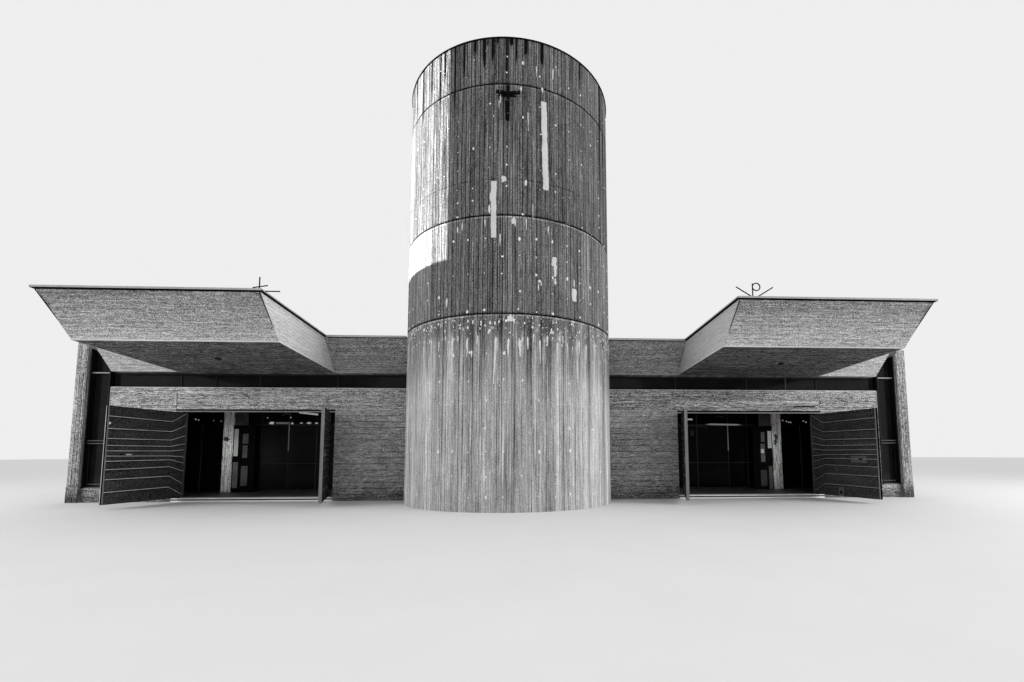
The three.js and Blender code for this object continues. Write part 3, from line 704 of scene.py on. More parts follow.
def drum_marks_and_light(angle, z):
    """How much paler or darker the drum's face is at a place, as a viewer sees it, painted light and shade
    included.
    """
    value = 0.0
    rightward = max(0.0, math.sin(math.radians(angle)))
    for a, wide, long, strong in STREAKS:
        near = turn_between(angle, a) / wide
        if abs(near) < 2:
            fade = clamped((z - (DRUM_TOP - long)) / (0.4 * long))
            value -= 1.25 * strong * math.exp(-near * near * 2.4) * fade
    if z < LIFTS[1]:
        # the lowest lift grows paler to its foot, and its flanks and right side are paler again as painted
        # light from the sides
        centre = bell(turn_between(angle, -2) / 38, 4)
        down = clamped((LIFTS[1] - 0.35 - z) / 1.5)
        value += 0.02 + (1 - centre) * 0.08 + 0.22 * down ** 0.7 + 0.03 * rightward
        for a, high, long, wide, strong in RUNS:
            near = turn_between(angle, a) / wide
            if abs(near) < 2 and z < high + 0.1:
                fade = clamped((z - (high - long)) / long) * min(1.0, (high + 0.1 - z) / 0.15)
                value += strong * math.exp(-near * near * 1.6) * fade
    elif z < LIFTS[2]:
        # painted light: the right side paler, and a pool of light painted on the left flank
        value += 0.02 + 0.06 * rightward + 0.08 * bell(turn_between(angle, -56) / 15)
    else:
        # soot about the cross and below it, and the cross's painted shadow: dark behind the upright and under
        # the arms
        near = turn_between(angle, -0.6)
        wide = 3.6 if z > 9.85 else 2.2
        value -= 0.12 * bell(near / wide) * bell((z - 9.98) / 0.42, 4)
        if 9.46 < z < 10.02:
            value -= 0.42 * bell(near / 0.52, 4)
        value -= 0.42 * bell((z - 10.112) / 0.024, 4) * bell(near / 4.6, 8)
        if z > LIFTS[3]:
            value += 0.02
    # painted light from the right, on every lift
    return value + 0.03 * max(0.0, math.sin(math.radians(angle - 20)))


def drum_point(angle, radius, z):
    a = math.radians(angle)
    return (radius * math.sin(a), DRUM_Y - radius * math.cos(a), z)


def outward_at(angle):
    return Vector((math.sin(math.radians(angle)), -math.cos(math.radians(angle)), 0))


def build_lift(i):
    """One lift of the drum. Its upright boards differ in depth and tilt, with a groove between each two, and
    a recessed joint parts it from the lift below."""
    build = Build(f"drum_lift_{i + 1}_boards", 100 + i)
    rnd = build.random
    low, high = LIFTS[i] + (0.0003 if i else 0.0), LIFTS[i + 1]
    foot = low + (0.030 if i else 0.0)
    levels = max(3, round((high - foot) / (0.11 if i else 0.13)))
    heights = [foot + (high - foot) * k / levels for k in range(levels + 1)]
    if i == 2:  # closer together behind the cross, where the soot and the painted shadow of the cross have sharp edges
        heights = sorted(set(heights) | {9.42, 9.46, 9.50, 10.02, 10.07, 10.09, 10.11, 10.13, 10.15})
    each = 360 / DRUM_BOARDS
    half_gap = math.degrees(0.0009 / DRUM_R)
    columns = []  # angle, radius, and the board's own values, which a groove doesn't have
    for n in range(DRUM_BOARDS):
        start = n * each
        deep, tilt = rnd.random() * 0.004, rnd.uniform(-0.0012, 0.0012)
        tone = clamped(rnd.gauss(0, 1), -2.2, 2.2)
        chance, offset = rnd.random(), rnd.uniform(0, 40)
        columns.append((start, DRUM_R - 0.0065, None))
        for k in range(4):
            a = start + half_gap + (each - 2 * half_gap) * k / 3
            chord = math.cos(math.radians(each / 2)) / math.cos(math.radians(a - start - each / 2))
            radius = DRUM_R * chord - deep * 0.9 + tilt * (k - 1.5) / 1.5 - 0.0013
            columns.append((a, radius, (tone, chance, offset, (a - start) / each)))
    count = len(columns)
    rings = [[build.point(drum_point(a, r, z), drum_marks_and_light(a, z)) for a, r, _ in columns] for z in heights]
    for lower, upper, z0, z1 in zip(rings, rings[1:], heights, heights[1:]):
        for m, q in around(count):
            one, other = columns[m][2], columns[q][2]
            tone, chance, offset, _ = one or other
            s0 = one[3] if one else 0.0
            s1 = other[3] if other else 1.0
            v0, v1 = s0 * BOARD, s1 * BOARD
            uv = [(z0 + offset, v0), (z0 + offset, v1), (z1 + offset, v1), (z1 + offset, v0)]
            edge = [(s0, chance), (s1, chance), (s1, chance), (s0, chance)]
            tone -= 0 if one and other else 0.5
            build.face([lower[m], lower[q], upper[q], upper[m]], tone, uv, edge)

    def circle(radius, z):
        return [build.point(drum_point(n * each, radius, z)) for n in range(DRUM_BOARDS)]

    def outer(ring, n):
        return [ring[(5 * n + k) % count] for k in range(6)]

    inside, inside_top = circle(DRUM_IN, low), circle(DRUM_IN, high)
    back, back_top = (circle(DRUM_R - 0.018, low), circle(DRUM_R - 0.018, foot)) if i else (None, inside)
    for n, m in around(DRUM_BOARDS):
        build.face([inside[n], inside_top[n], inside_top[m], inside[m]], slot=1)
        build.face(outer(rings[-1], n) + [inside_top[m], inside_top[n]], slot=1)
        build.face(outer(rings[0], n)[::-1] + [back_top[n], back_top[m]], slot=2 if i else 1)
        if i:
            build.face([back[n], back[m], back_top[m], back_top[n]], slot=2)
            build.face([inside[n], inside[m], back[m], back[n]], slot=2)
    build.done([DRUM, DRUM_CORE, SHADE], replaces=[f"tower_lift_{i + 1}"], slot="drum_concrete")


def build_patches():
    """Mortar strips and patches on the drum: each a thin uneven skin that follows the round face."""
    build = Build("drum_repairs", 31)
    rnd = build.random
    skin = DRUM_R + 0.0015
    raised, sunk = skin + 0.0035, skin - 0.0045

    def lattice(rows, slot):
        for lower, upper in zip(rows, rows[1:]):
            for q in range(len(lower) - 1):
                build.face([lower[q], lower[q + 1], upper[q + 1], upper[q]], slot=slot)

    def strip(a0, a1, z0, z1, ragged=0.16, lean=0.0):
        steps = max(8, round((z1 - z0) / 0.045))
        rows = []
        left = right = 0.0
        for k in range(steps + 1):
            pinch = (a1 - a0) * (0.10 if k in (0, steps) else 0.0)
            left = 0.62 * left + rnd.uniform(-1, 1) * ragged
            right = 0.62 * right + rnd.uniform(-1, 1) * ragged
            leaning = lean * (0.5 - k / steps)
            lo, hi = a0 + left + pinch + leaning, a1 + right - pinch + leaning
            row = []
            for q in range(5):
                radius = (raised if 0 < q < 4 and 0 < k < steps else sunk) + rnd.uniform(0, 0.001)
                place = drum_point(lo + (hi - lo) * q / 4, radius, z0 + (z1 - z0) * k / steps)
                row.append(build.point(place))
            rows.append(row)
        lattice(rows, 0)

    def blot(a, z, wide, tall, sides=14, ragged=0.3, slot=0):
        centre = build.point(drum_point(a, skin + 0.0045, z))
        ring, rim = [], []
        for k in range(sides):
            t = math.tau * k / sides
            reach = 1 + rnd.uniform(-ragged, ragged)
            da, dz = wide / 2 * math.sin(t) * reach, tall / 2 * math.cos(t) * reach
            ring.append(build.point(drum_point(a + da * 0.8, raised, z + dz * 0.8)))
            rim.append(build.point(drum_point(a + da, sunk, z + dz)))
        for k, m in around(sides):
            build.face([centre, ring[m], ring[k]], slot=slot)
            build.face([ring[k], ring[m], rim[m], rim[k]], slot=slot)

    def drip(a, z, long, wide, lean):
        """Laitance that has run down: a wide head and a thin tail."""
        steps = max(5, round(long / 0.06))
        rows, left, right = [], 0.0, 0.0
        for k in range(steps + 1):
            t = k / steps
            half = wide / 2 * (0.35 if k == 0 else 1.0 if t < 0.25 else 1.0 - 0.72 * (t - 0.25) / 0.75)
            left = 0.4 * left + rnd.uniform(-1, 1) * wide * 0.14
            right = 0.4 * right + rnd.uniform(-1, 1) * wide * 0.14
            middle = a + lean * t
            ridge = raised if 0 < k < steps else sunk
            places = ((middle - half + left, sunk), (middle, ridge), (middle + half + right, sunk))
            rows.append([build.point(drum_point(w, radius, z - long * t)) for w, radius in places])
        lattice([row[::-1] for row in rows], 1)

    for row in DRIPS:
        drip(*row)
    for _ in range(60):
        drip(*[rnd.uniform(*ends) for ends in ((56, 304), (3.9, 4.45), (0.12, 0.8), (0.5, 1.2), (-0.3, 0.3))])
    blot(1.3, 4.52, 2.6, 0.16, 16, 0.35, 1)
    blot(3.2, 4.47, 1.0, 0.12, 12, 0.4, 1)
    for row in STRIPS:
        strip(*row)
    for row in BLOTS:
        blot(*row)
    for _ in range(16):
        blot(*[rnd.uniform(*ends) for ends in ((70, 290), (4.9, 11.0), (0.8, 2.2), (0.15, 0.4))])
    strip(104.0, 106.9, 7.2, 9.2)
    strip(161.0, 163.6, 8.2, 9.9)
    strip(229.0, 232.0, 5.4, 6.9)
    build.done([PATCH, RUN], slot="drum_concrete")


def build_ties():
    """The mortar in the form ties: a regular grid in each lift, of which many plugs have gone dull."""
    build = Build("drum_tie_plugs", 47)
    rnd = build.random
    count = 44

    def spot(a, z, wide, stretch, high, **how):
        build.plug(drum_point(a, DRUM_R - 0.006, z), outward_at(a), wide, wide * stretch, high, **how)

    for rows, first, shown, stretch, size in TIES:
        for n in range(count):
            for z in rows:
                if rnd.random() > shown:
                    continue
                a = first + n * 360 / count + rnd.gauss(0, 0.22)
                wide = rnd.choice((0.020, 0.026, 0.032, 0.040, 0.050)) * size
                if -90 < turn_between(a, 0) < -31 and z > 6.2 and rnd.random() < 0.6:
                    continue
                spot(a, z + rnd.gauss(0, 0.018), wide, stretch * rnd.uniform(0.8, 1.3), 0.011)
    for _ in range(420):  # splashes of laitance just under the lowest joint
        a = rnd.uniform(-180, 180)
        z = LIFTS[1] - 0.06 - abs(rnd.gauss(0, 0.26))
        spot(a, z, rnd.choice((0.016, 0.026, 0.040)), rnd.uniform(0.9, 2.2), 0.010, sides=7, rough=0.5)
    for _ in range(300):
        a, z = rnd.uniform(-180, 180), rnd.uniform(0.4, 11.4)
        spot(a, z, rnd.choice((0.010, 0.014, 0.020)), rnd.uniform(1.0, 2.4), 0.009, sides=6, rough=0.5)
    build.done([SPOT], slot="drum_concrete")


def build_rim():
    build = Build("drum_rim_flashing", 9)
    profile = [(2.717, 11.6353), (2.925, 11.6353), (2.937, 11.6360), (2.937, 11.6655), (2.932, 11.67),
               (2.722, 11.662), (2.717, 11.658)]
    sides = 192
    rings = [[build.point(drum_point(360 * n / sides, r, z)) for r, z in profile] for n in range(sides)]
    for n, m in around(sides):
        for k, q in around(len(profile)):
            build.face([rings[n][k], rings[m][k], rings[m][q], rings[n][q]])
    for n in range(12):  # laps in the flashing
        a0, a1 = 14.3 + 30 * n, 15.7 + 30 * n
        corners = ((a0, 2.73, 11.6625), (a0, 2.93, 11.6698), (a1, 2.93, 11.6698), (a1, 2.73, 11.6625))
        low, high = [[build.point(drum_point(a, r, z - sunk)) for a, r, z in corners]
                     for sunk in (0.003, 0.0)]
        build.face(high)
        build.skirt(low, high)
    build.done([RIM], replaces=["tower_rim"], slot="dark_metal")


def build_cross_bolts():
    build = Build("cross_bolts", 12)
    cross = NODES["tower_cross"]
    front = min((cross.matrix_world @ Vector(c)).y for c in cross.bound_box) - SHIFT
    for x, z in ((-0.20, 10.112), (0.21, 10.114), (0.0, 9.90), (0.0, 9.56)):
        build.disc((x, front + 0.001, z), FRONTWARD, 0.011, 0.007, sides=10, rough=0.1)
    build.done([CAP], slot="dark_metal")


for i in range(4):
    build_lift(i)
build_patches()
build_ties()
build_rim()
build_cross_bolts()
paint(FELT, "tower_roof")
paint(SOOTY, "tower_cross")
paint(IRON, "right_roof_monogram", "left_roof_cross")


# Walls
def wall_strip(build, cuts, z0, z1, rows, slot=0, panel=1.5, y=0.0, outward=FRONTWARD):
    """Board-marked wall, cast in panels that differ a little in tone."""
    for ends in zip(cuts, cuts[1:]):
        x0, x1 = sorted(ends)
        for a, b in parts(x0, x1, max(1, round((x1 - x0) / panel))):
            common = build.random.gauss(0, 0.8)
            build.wall((a, y), (b, y), z0, z1, outward, rows=rows, slot=slot, common=common)


def tie_hole(marks, place, outward, high=0.0022):
    marks.disc(place, outward, 0.014, high, sides=9, rough=0.15)


def build_front_wall(k, word, s):
    build = Build(f"{word}_front_wall_boards", 200 + k)
    inner = (s * BESIDE_DRUM, s * CASTING)
    wall_strip(build, (*inner, s * JAMB_OUT, s * WALL_END), HEAD, BAND_TOP, 6, panel=2.3)
    for z0, z1 in parts(GROUND, HEAD, 5):
        wall_strip(build, inner, z0, z1, 3, 1, 0.62)
        wall_strip(build, (s * CASTING, s * (JAMB_IN - 0.002)), z0, z1, 3, 1)
    wall_strip(build, (s * (JAMB_OUT + 0.002), s * WALL_END), GROUND, HEAD, 18, 1)
    wall_strip(build, (s * WALL_END, s * (SIDE_IN - 0.002)), GROUND, 0.4, 3, 1)
    # reveals of the doorway and of the window slot
    for x, away in ((s * JAMB_IN, s), (s * JAMB_OUT, -s)):
        build.wall((x, 0.004), (x, WALL), 0.1, HEAD, (away, 0, 0), rows=23, lengths=(3, 4))
    x = s * WALL_END
    build.wall((x, 0.004), (x, 0.14), 0.42, BAND_TOP, (s, 0, 0), rows=26, lengths=(3, 4))
    a, b = s * JAMB_IN, s * JAMB_OUT
    build.planks((a, 0.004, HEAD), (b, 0.004, HEAD), (b, 0.012, HEAD), (a, 0.012, HEAD), DOWNWARD, rows=1,
                 proud=0.002)
    # the right wall's band is the darker copy, painted shade
    build.done([BAND if s < 0 else DIM_BAND, WALL_FACE])


def build_wall_marks(k, word, s):
    """Form-tie holes, and pale lines where castings meet. The right wall also has a short recessed board."""
    marks = Build(f"{word}_wall_tie_holes", 210 + k)
    rnd = marks.random
    for x in (3.6, 4.6, 6.2, 7.7, 10.5, 11.1):
        for z in (3.13, 2.02, 0.95):
            if z > HEAD or not JAMB_IN < x < JAMB_OUT:
                place = (s * (x + rnd.uniform(-0.05, 0.05)), -MARK, z + rnd.uniform(-0.02, 0.02))
                tie_hole(marks, place, FRONTWARD)
    if s > 0:
        marks.box((8.79, -0.0056, 2.775), (9.49, -0.003, 2.815))
        marks.disc((9.675, -MARK, 2.914), FRONTWARD, 0.03, 0.003, sides=10, rough=0.2)
        # a smear of mortar beside the drum
        start = x = 3.12
        while x < 3.75:
            wide = rnd.uniform(0.05, 0.13)
            place = (x, -MARK, 2.90 + 0.05 * (x - start) + rnd.uniform(-0.012, 0.012))
            marks.plug(place, FRONTWARD, wide * 1.5, rnd.uniform(0.03, 0.07), 0.0022, slot=1, sides=9)
            x += wide
    for x0, x1, z0, z1, slot in (
        (4.936, 4.946, HEAD + 0.004, BAND_TOP - 0.002, 1), (2.93, 5.12, HEAD - 0.008, HEAD + 0.005, 1),
        (9.648, 11.516, 2.664, 2.680, 1), (2.93, 11.516, 3.292, 3.306, 2), (11.498, 11.516, 2.68, 3.29, 1),
        (9.636, 9.650, 2.68, 3.20, 0),
    ):
        marks.box((s * x0, -0.0058, z0), (s * x1, -0.003, z1), slot)
    marks.done([HOLE, PATCH, RUN])


def build_side_wall(k, word, s):
    """The long outer face and the pier ends: a lower and an upper pour with a joint between, on a plinth."""
    build = Build(f"{word}_side_wall_boards", 230 + k)
    face = s * (SIDE_OUT - 0.008)
    front, back = -0.1 + 0.008, DEPTH + 0.1 - 0.008
    top, low, lip = SIDE_TOP - 0.012, 4.42, 0.192
    outline = [(front, 0), (back, 0), (back, top), (back - lip, top), (back - lip, low), (front + lip, low),
               (front + lip, top), (front, top)]
    build.prism("yz", outline, s * SIDE_IN, face, slot=1)
    long = {"upright": True, "lengths": (5, 6)}
    plinth = POURS[0][0]
    for y, out in ((front, -1), (back, 1)):
        a, b = sorted((s * (SIDE_IN + 0.002), s * (SIDE_OUT - 0.001)))
        for z0, z1 in POURS:
            build.wall((a, y), (b, y), z0, z1, (0, out, 0), rows=3, proud=0.008, **long)
        for x0, x1 in ((12.145, 12.155), (12.113, 12.123)):
            build.box((s * x0, y + out * 0.006, plinth), (s * x1, y + out * 0.0086, 4.568), 4)
        build.box((s * (SIDE_IN + 0.006), y, 3.722), (s * (SIDE_OUT - 0.005), y + out * 0.0085, 3.731), 5)
        build.box((s * SIDE_IN, y, 0.0), (s * SIDE_OUT, y + out * 0.023, 0.437), 2)
        a, b = (front, 0.14) if out < 0 else (DEPTH - 0.14, back)
        build.wall((s * SIDE_IN, a), (s * SIDE_IN, b), plinth, 4.40, (-s, 0, 0), rows=2, proud=0.004, **long)
        build.box((s * SIDE_IN, y, top), (s * SIDE_OUT, y - out * 0.18, SIDE_TOP), 3)
    for z0, z1 in ((0.0, 0.437), POURS[0], (POURS[1][0], 4.415)):
        build.wall((face, front), (face, back), z0, z1, (s, 0, 0), rows=137, proud=0.008, step=0.003, **long)
    build.done([PIER, CORE_Y, PIER, IRON, SHADE, PATCH], replaces=[f"{word}_side_wall"])
    marks = Build(f"{word}_side_tie_holes", 240 + k)
    for i in range(15):
        for z in (0.95, 2.05, 3.15):
            tie_hole(marks, (s * (SIDE_OUT - 0.0042), 0.6 + i * 1.06, z), (s, 0, 0), 0.003)
    marks.done([HOLE])


def build_back_wall():
    build = Build("back_wall_boards", 250)
    rear = {"y": DEPTH, "outward": BACKWARD}
    cuts = (-WALL_END, -7.2, -2.4, 2.4, 7.2, WALL_END)
    wall_strip(build, cuts, GROUND, HEAD, 18, 1, **rear)
    wall_strip(build, cuts, HEAD, BAND_TOP, 6, **rear)
    for s in (-1, 1):
        wall_strip(build, (s * WALL_END, s * (SIDE_IN - 0.002)), GROUND, 0.4, 3, 1, **rear)
    build.done([BAND, WALL_FACE])
    marks = Build("back_wall_tie_holes", 251)
    for i in range(21):
        for z in (0.95, 2.05, 3.13):
            tie_hole(marks, (-10.6 + i * 1.06, DEPTH + MARK, z), BACKWARD)
    marks.done([HOLE])


for k, (word, s) in enumerate(SIDES):
    build_front_wall(k, word, s)
    build_wall_marks(k, word, s)
    build_side_wall(k, word, s)
build_back_wall()
paint(CORE_X, "back_wall", *both("front_wall_inner", "door_lintel", "front_wall_outer"))


# Roof
COPING_SHEET = ((-0.055, -0.03), (-0.055, 0.027), (0.2, 0.022), (0.2, -0.004), (0.196, -0.004),
                (0.196, 0.001), (-0.05, 0.001), (-0.05, -0.03))
COPING_GAP = ((-0.049, -0.022), (-0.049, 0.0), (0.0, 0.0), (0.03, -0.034), (0.012, -0.034))
BACK_SHEET = ((0.0, -0.02), (0.0, 0.027), (0.24, 0.022), (0.24, -0.004), (0.236, -0.004), (0.236, 0.001),
              (0.006, 0.001), (0.006, -0.02))
BACK_ARRIS = ((-0.004, -0.003), (0.02, -0.003), (0.02, 0.0), (-0.0265, 0.022), (-0.031, 0.018))


def build_fascia(k, word, s):
    build = Build(f"{word}_fascia_boards", 260 + k)
    inner, outer = CANOPY_IN - 0.003, CANOPY_OUT + 0.003
    # the stretch between drum and canopy takes the darker copy, painted shade; the outer stretch takes the
    # paler one
    for x0, top, x1, slot in ((2.932, 2.852, inner, 0), (outer, outer, ROOF_END, 1)):
        build.planks((s * x0, FOOT_Y, SOFFIT), (s * x1, FOOT_Y, SOFFIT), (s * x1, TOP_Y, TOP_Z),
                     (s * top, TOP_Y, TOP_Z), (0, -1, -0.5), rows=10, slot=slot)
    x = s * ROOF_END
    build.planks((x, 0.0, SOFFIT), (x, FOOT_Y, SOFFIT), (x, TOP_Y, TOP_Z), (x, 0.0, TOP_Z), (s, 0, 0), rows=7)
    build.done([MAIN, MAIN_END])
    # pale arris along the foot, darker between drum and canopy as painted shade
    lip = Build(f"{word}_fascia_arris", 264 + k)
    outline = section(FOOT_Y, SOFFIT, ((-0.004, -0.003), (0.02, -0.003), (0.02, 0.0), (-0.022, 0.014),
                                       (-0.026, 0.012)))
    for x0, x1, slot in ((2.96, CANOPY_IN - 0.004, 1), (CANOPY_OUT + 0.004, ROOF_END, 0)):
        lip.prism("yz", outline, s * x0, s * x1, slot)
    lip.done([ARRIS, DIM_ARRIS])
    # sheet coping, and the shadow gap under it
    top = Build(f"{word}_fascia_coping", 268 + k)
    sheet = section(TOP_Y, TOP_Z, COPING_SHEET)
    gap = section(TOP_Y, TOP_Z, COPING_GAP)
    for x0, x1 in ((2.86, CANOPY_IN - 0.075), (CANOPY_OUT + 0.075, ROOF_END + 0.02)):
        for a, b in parts(x0, x1, max(1, round((x1 - x0) / 1.9))):
            top.prism("yz", sheet, s * (a + 0.002), s * (b - 0.002))
        top.prism("yz", gap, s * (x0 + 0.004), s * (x1 - 0.004), 1)
    top.done([FLASH, SHADE], bevel=0.002, slot="pale_metal")


def build_back_fascia():
    """The front's fascia again, turned to the back."""
    def far(outline):
        return [(DEPTH - y, z) for y, z in outline]

    build = Build("back_fascia_boards", 280)
    end, top = ROOF_END - 0.006, TOP_Y + 0.03
    nose = [(top, TOP_Z), (top, TOP_Z - 0.012)]
    slab = SOFFIT + SLAB
    core = [(FOOT_Y, SOFFIT), (WALL, SOFFIT), (WALL, slab), (FOOT_Y + SLAB - LEAN * SLAB, slab),
            (TOP_Y + SLAB, TOP_Z), *nose]
    build.prism("yz", far(core), -end, end, 1)
    cheek = far([(FOOT_Y, SOFFIT), (0.0997, SOFFIT), (0.0997, TOP_Z), *nose])
    foot, head, corner, over = far([(FOOT_Y, SOFFIT), (top, TOP_Z), (0.0, SOFFIT), (0.0, TOP_Z)])
    for s in (-1, 1):
        build.prism("yz", cheek, s * (ROOF_END - 0.18), s * end, 1)
        corners = [(s * end, *place) for place in (corner, foot, head, over)]
        build.planks(*corners, (s, 0, 0), rows=7, proud=0.006)
    head = (head[0], TOP_Z - 0.006)
    build.planks((-ROOF_END, *foot), (ROOF_END, *foot), (ROOF_END, *head), (-ROOF_END, *head),
                 (0, 1, -0.5), rows=10)
    build.done([MAIN, CORE_X], replaces=["back_fascia"])
    lip = Build("back_fascia_arris", 281)
    lip.prism("yz", far(section(FOOT_Y, SOFFIT, BACK_ARRIS)), -ROOF_END, ROOF_END)
    lip.done([ARRIS])
    coping = Build("back_fascia_coping", 282)
    sheet = far(section(TOP_Y, TOP_Z, BACK_SHEET))
    for a, b in parts(-ROOF_END, ROOF_END, 12):
        coping.prism("yz", sheet, a + 0.002, b - 0.002)
    coping.done([FLASH], bevel=0.002, slot="pale_metal")


CANOPY_FOOT, CANOPY_TOP = soffit_at(FRONT_FOOT), top_at(FRONT_TOP)


def canopy_edges(s):
    """The x of each end of the canopy, and which way is out."""
    return (s * CANOPY_IN, -s), (s * CANOPY_OUT, s)


def build_canopy(k, word, s):
    build = Build(f"{word}_canopy_boards", 300 + k)
    a, b = s * CANOPY_IN, s * CANOPY_OUT
    build.planks((a, FRONT_FOOT, CANOPY_FOOT), (b, FRONT_FOOT, CANOPY_FOOT), (b, FRONT_TOP, CANOPY_TOP),
                 (a, FRONT_TOP, CANOPY_TOP), (0, -1, -0.5), rows=11)
    for x, out in canopy_edges(s):
        build.planks((x, FOOT_Y, SOFFIT), (x, FRONT_FOOT + 0.004, CANOPY_FOOT),
                     (x, FRONT_TOP + 0.004, CANOPY_TOP), (x, TOP_Y, TOP_Z), (out, 0, 0), rows=10, slot=1)
    # the cheeks take the paler concrete as painted light, darker on the right as painted shade
    build.done([FACE, CHEEK if s < 0 else DIM_CHEEK])


# pale smears of filler beside the lamp, where the soffit was opened: place from the lamp, width and depth
SMEARS = ((-0.26, -0.24, 0.06, 0.010), (-0.21, -0.13, 0.06, 0.012), (-0.16, -0.03, 0.07, 0.012),
          (0.11, -0.05, 0.04, 0.010), (0.15, 0.03, 0.06, 0.010))


def build_canopy_soffit(k, word, s):
    under = Build(f"{word}_canopy_soffit_boards", 310 + k)
    a, b = s * CANOPY_IN, s * CANOPY_OUT
    under.planks((a, FOOT_Y, SOFFIT), (b, FOOT_Y, SOFFIT), (b, FRONT_FOOT, CANOPY_FOOT),
                 (a, FRONT_FOOT, CANOPY_FOOT), DOWNWARD, rows=28, proud=0.004)
    lamp_x, lamp_y = s * 7.4, -1.85
    z = soffit_at(lamp_y)
    under.disc((lamp_x, lamp_y, z - 0.006), DOWNWARD, 0.085, 0.022, slot=1, sides=20, rough=0.0)
    under.disc((lamp_x, lamp_y, z - 0.028), DOWNWARD, 0.055, 0.004, slot=2, sides=20, rough=0.0)
    count = 9
    for dx, dy, wide, deep in SMEARS:
        x, y = lamp_x - s * dx, lamp_y + dy
        z = soffit_at(y) - 0.0035
        reach = [1 + under.random.uniform(-0.3, 0.2) for _ in range(count)]
        rim, ring = [], []
        for points, grow, drop in ((rim, 1.06, -0.0025), (ring, 1.0, 0.0012)):
            for q in range(count):
                t = math.tau * q / count
                across = math.cos(t) * wide * reach[q] * grow
                along = math.sin(t) * deep * 1.6 * reach[q] * grow
                points.append(under.point((x + across, y + along - s * 0.9 * across, z - drop)))
        under.face(ring[::-1], slot=3)
        under.skirt(rim[::-1], ring[::-1], 3)
    # the right soffit is the darker copy, painted shade
    under.done([UNDER if s < 0 else DIM_UNDER, IRON, SHADE, SMEAR])


def build_canopy_arris(k, word, s):
    """The pale arris round the lower edge, and a dark rod up each corner of the front with the cheeks."""
    lip = Build(f"{word}_canopy_arris", 320 + k)
    front = section(FRONT_FOOT, CANOPY_FOOT, ((-0.004, -0.005), (0.03, -0.006), (0.03, 0.0), (-0.022, 0.018),
                                              (-0.027, 0.015)))
    lip.prism("yz", front, s * (CANOPY_IN - 0.004), s * (CANOPY_OUT + 0.004))
    for x, out in canopy_edges(s):
        for y0, y1 in parts(FOOT_Y, FRONT_FOOT, 8):
            z0, z1 = soffit_at(y0), soffit_at(y1)
            outline = [(y0, z0 - 0.005), (y1, z1 - 0.005), (y1, z1 + 0.014), (y0, z0 + 0.014)]
            lip.prism("yz", outline, x, x + out * 0.007)
    for x, out in canopy_edges(s):
        x -= out * 0.006
        foot, head = (x, FRONT_FOOT + 0.003, CANOPY_FOOT + 0.03), (x, FRONT_TOP + 0.003, CANOPY_TOP - 0.04)
        lip.rod(foot, head, 0.0095, 8, 1)
    lip.done([ARRIS, HOLE])


def build_coping(k, word, s):
    """The canopy coping's hem, the shadow gap under it, and laps on the metal."""
    def ribbon(run, below, above):
        return [(y, z - below) for y, z in run] + [(y, z + above) for y, z in run[::-1]]

    hem = Build(f"{word}_coping_hem", 326 + k)
    edge = FRONT_TOP - 0.06
    z = CANOPY_TOP
    for x0, x1 in parts(s * (CANOPY_IN - 0.058), s * (CANOPY_OUT + 0.058), 3):
        hem.box((x0 + s * 0.0015, edge + 0.0002, z - 0.010), (x1 - s * 0.0015, edge + 0.006, z + 0.031))
    gap = [(edge + 0.004, z - 0.022), (edge + 0.004, z - 0.001), (FRONT_TOP, z),
           (FRONT_TOP + 0.022, z - 0.028), (FRONT_TOP + 0.012, z - 0.028)]
    hem.prism("yz", gap, s * CANOPY_IN, s * CANOPY_OUT, 1)
    run = [(FRONT_TOP - 0.05, top_at(FRONT_TOP - 0.05)), (TOP_Y, TOP_Z)]
    # on the cheeks the hem is dark iron, painted shade on the coping's side
    for x, out in canopy_edges(s):
        hem.prism("yz", ribbon(run, 0.012, 0.010), x + out * 0.0592, x + out * 0.054, 2)
        hem.prism("yz", ribbon(run, 0.018, 0.0), x + out * 0.053, x, 1)
    hem.done([FLASH, SHADE, IRON], slot="pale_metal")
    laps = Build(f"{word}_coping_laps", 330 + k)
    for _, x in parts(CANOPY_IN, CANOPY_OUT, 3)[:2]:
        x, z = s * x, CANOPY_TOP + 0.03
        laps.box((x - 0.03, FRONT_TOP - 0.058, z - 0.001), (x + 0.03, FRONT_TOP + 0.195, z + 0.004))
    for x in (s * (CANOPY_IN + 0.07), s * (CANOPY_OUT - 0.07)):
        for y in (-3.3, -2.2):
            z = top_at(y) + 0.03
            laps.box((x - 0.12, y - 0.03, z - 0.002), (x + 0.12, y + 0.03, z + 0.004))
    laps.done([FLASH], bevel=0.0015, slot="pale_metal")


def build_roofing():
    """Lapped felt on the slabs, and flashings over the window slots."""
    build = Build("roof_felt_strips", 340)
    z = SOFFIT + SLAB + 0.0005

    def strips(x0, x1, y0, y1, rise=0.0):
        build.planks((x0, y0, z), (x1, y0, z), (x1, y1, z + rise), (x0, y1, z + rise), UPWARD, pitch=0.95,
                     proud=0.006, gap=-0.02, chamfer=0.01, lengths=(7, 9), step=0.003)

    strips(-11.18, 11.18, 2.75, 15.65)
    for s in (-1, 1):
        strips(s * 3.1, s * 11.18, 0.32, 2.73)
        strips(s * (CANOPY_IN + 0.185), s * (CANOPY_OUT - 0.185), FOOT_Y, -3.42, 0.122)
    build.done([FELT])
    caps = Build("slot_roof_flashings", 341)
    top = SIDE_TOP + 0.012
    for s in (-1, 1):
        for y0, y1 in parts(0.105, DEPTH - 0.105, 9):
            caps.box((s * 11.16, y0 + 0.003, SIDE_TOP), (s * (SIDE_OUT - 0.001), y1 - 0.003, top))
            caps.box((s * 11.15, y1 - 0.025, top), (s * (SIDE_OUT - 0.004), y1 + 0.02, SIDE_TOP + 0.02))
    caps.done([FLASH], bevel=0.002, slot="pale_metal")


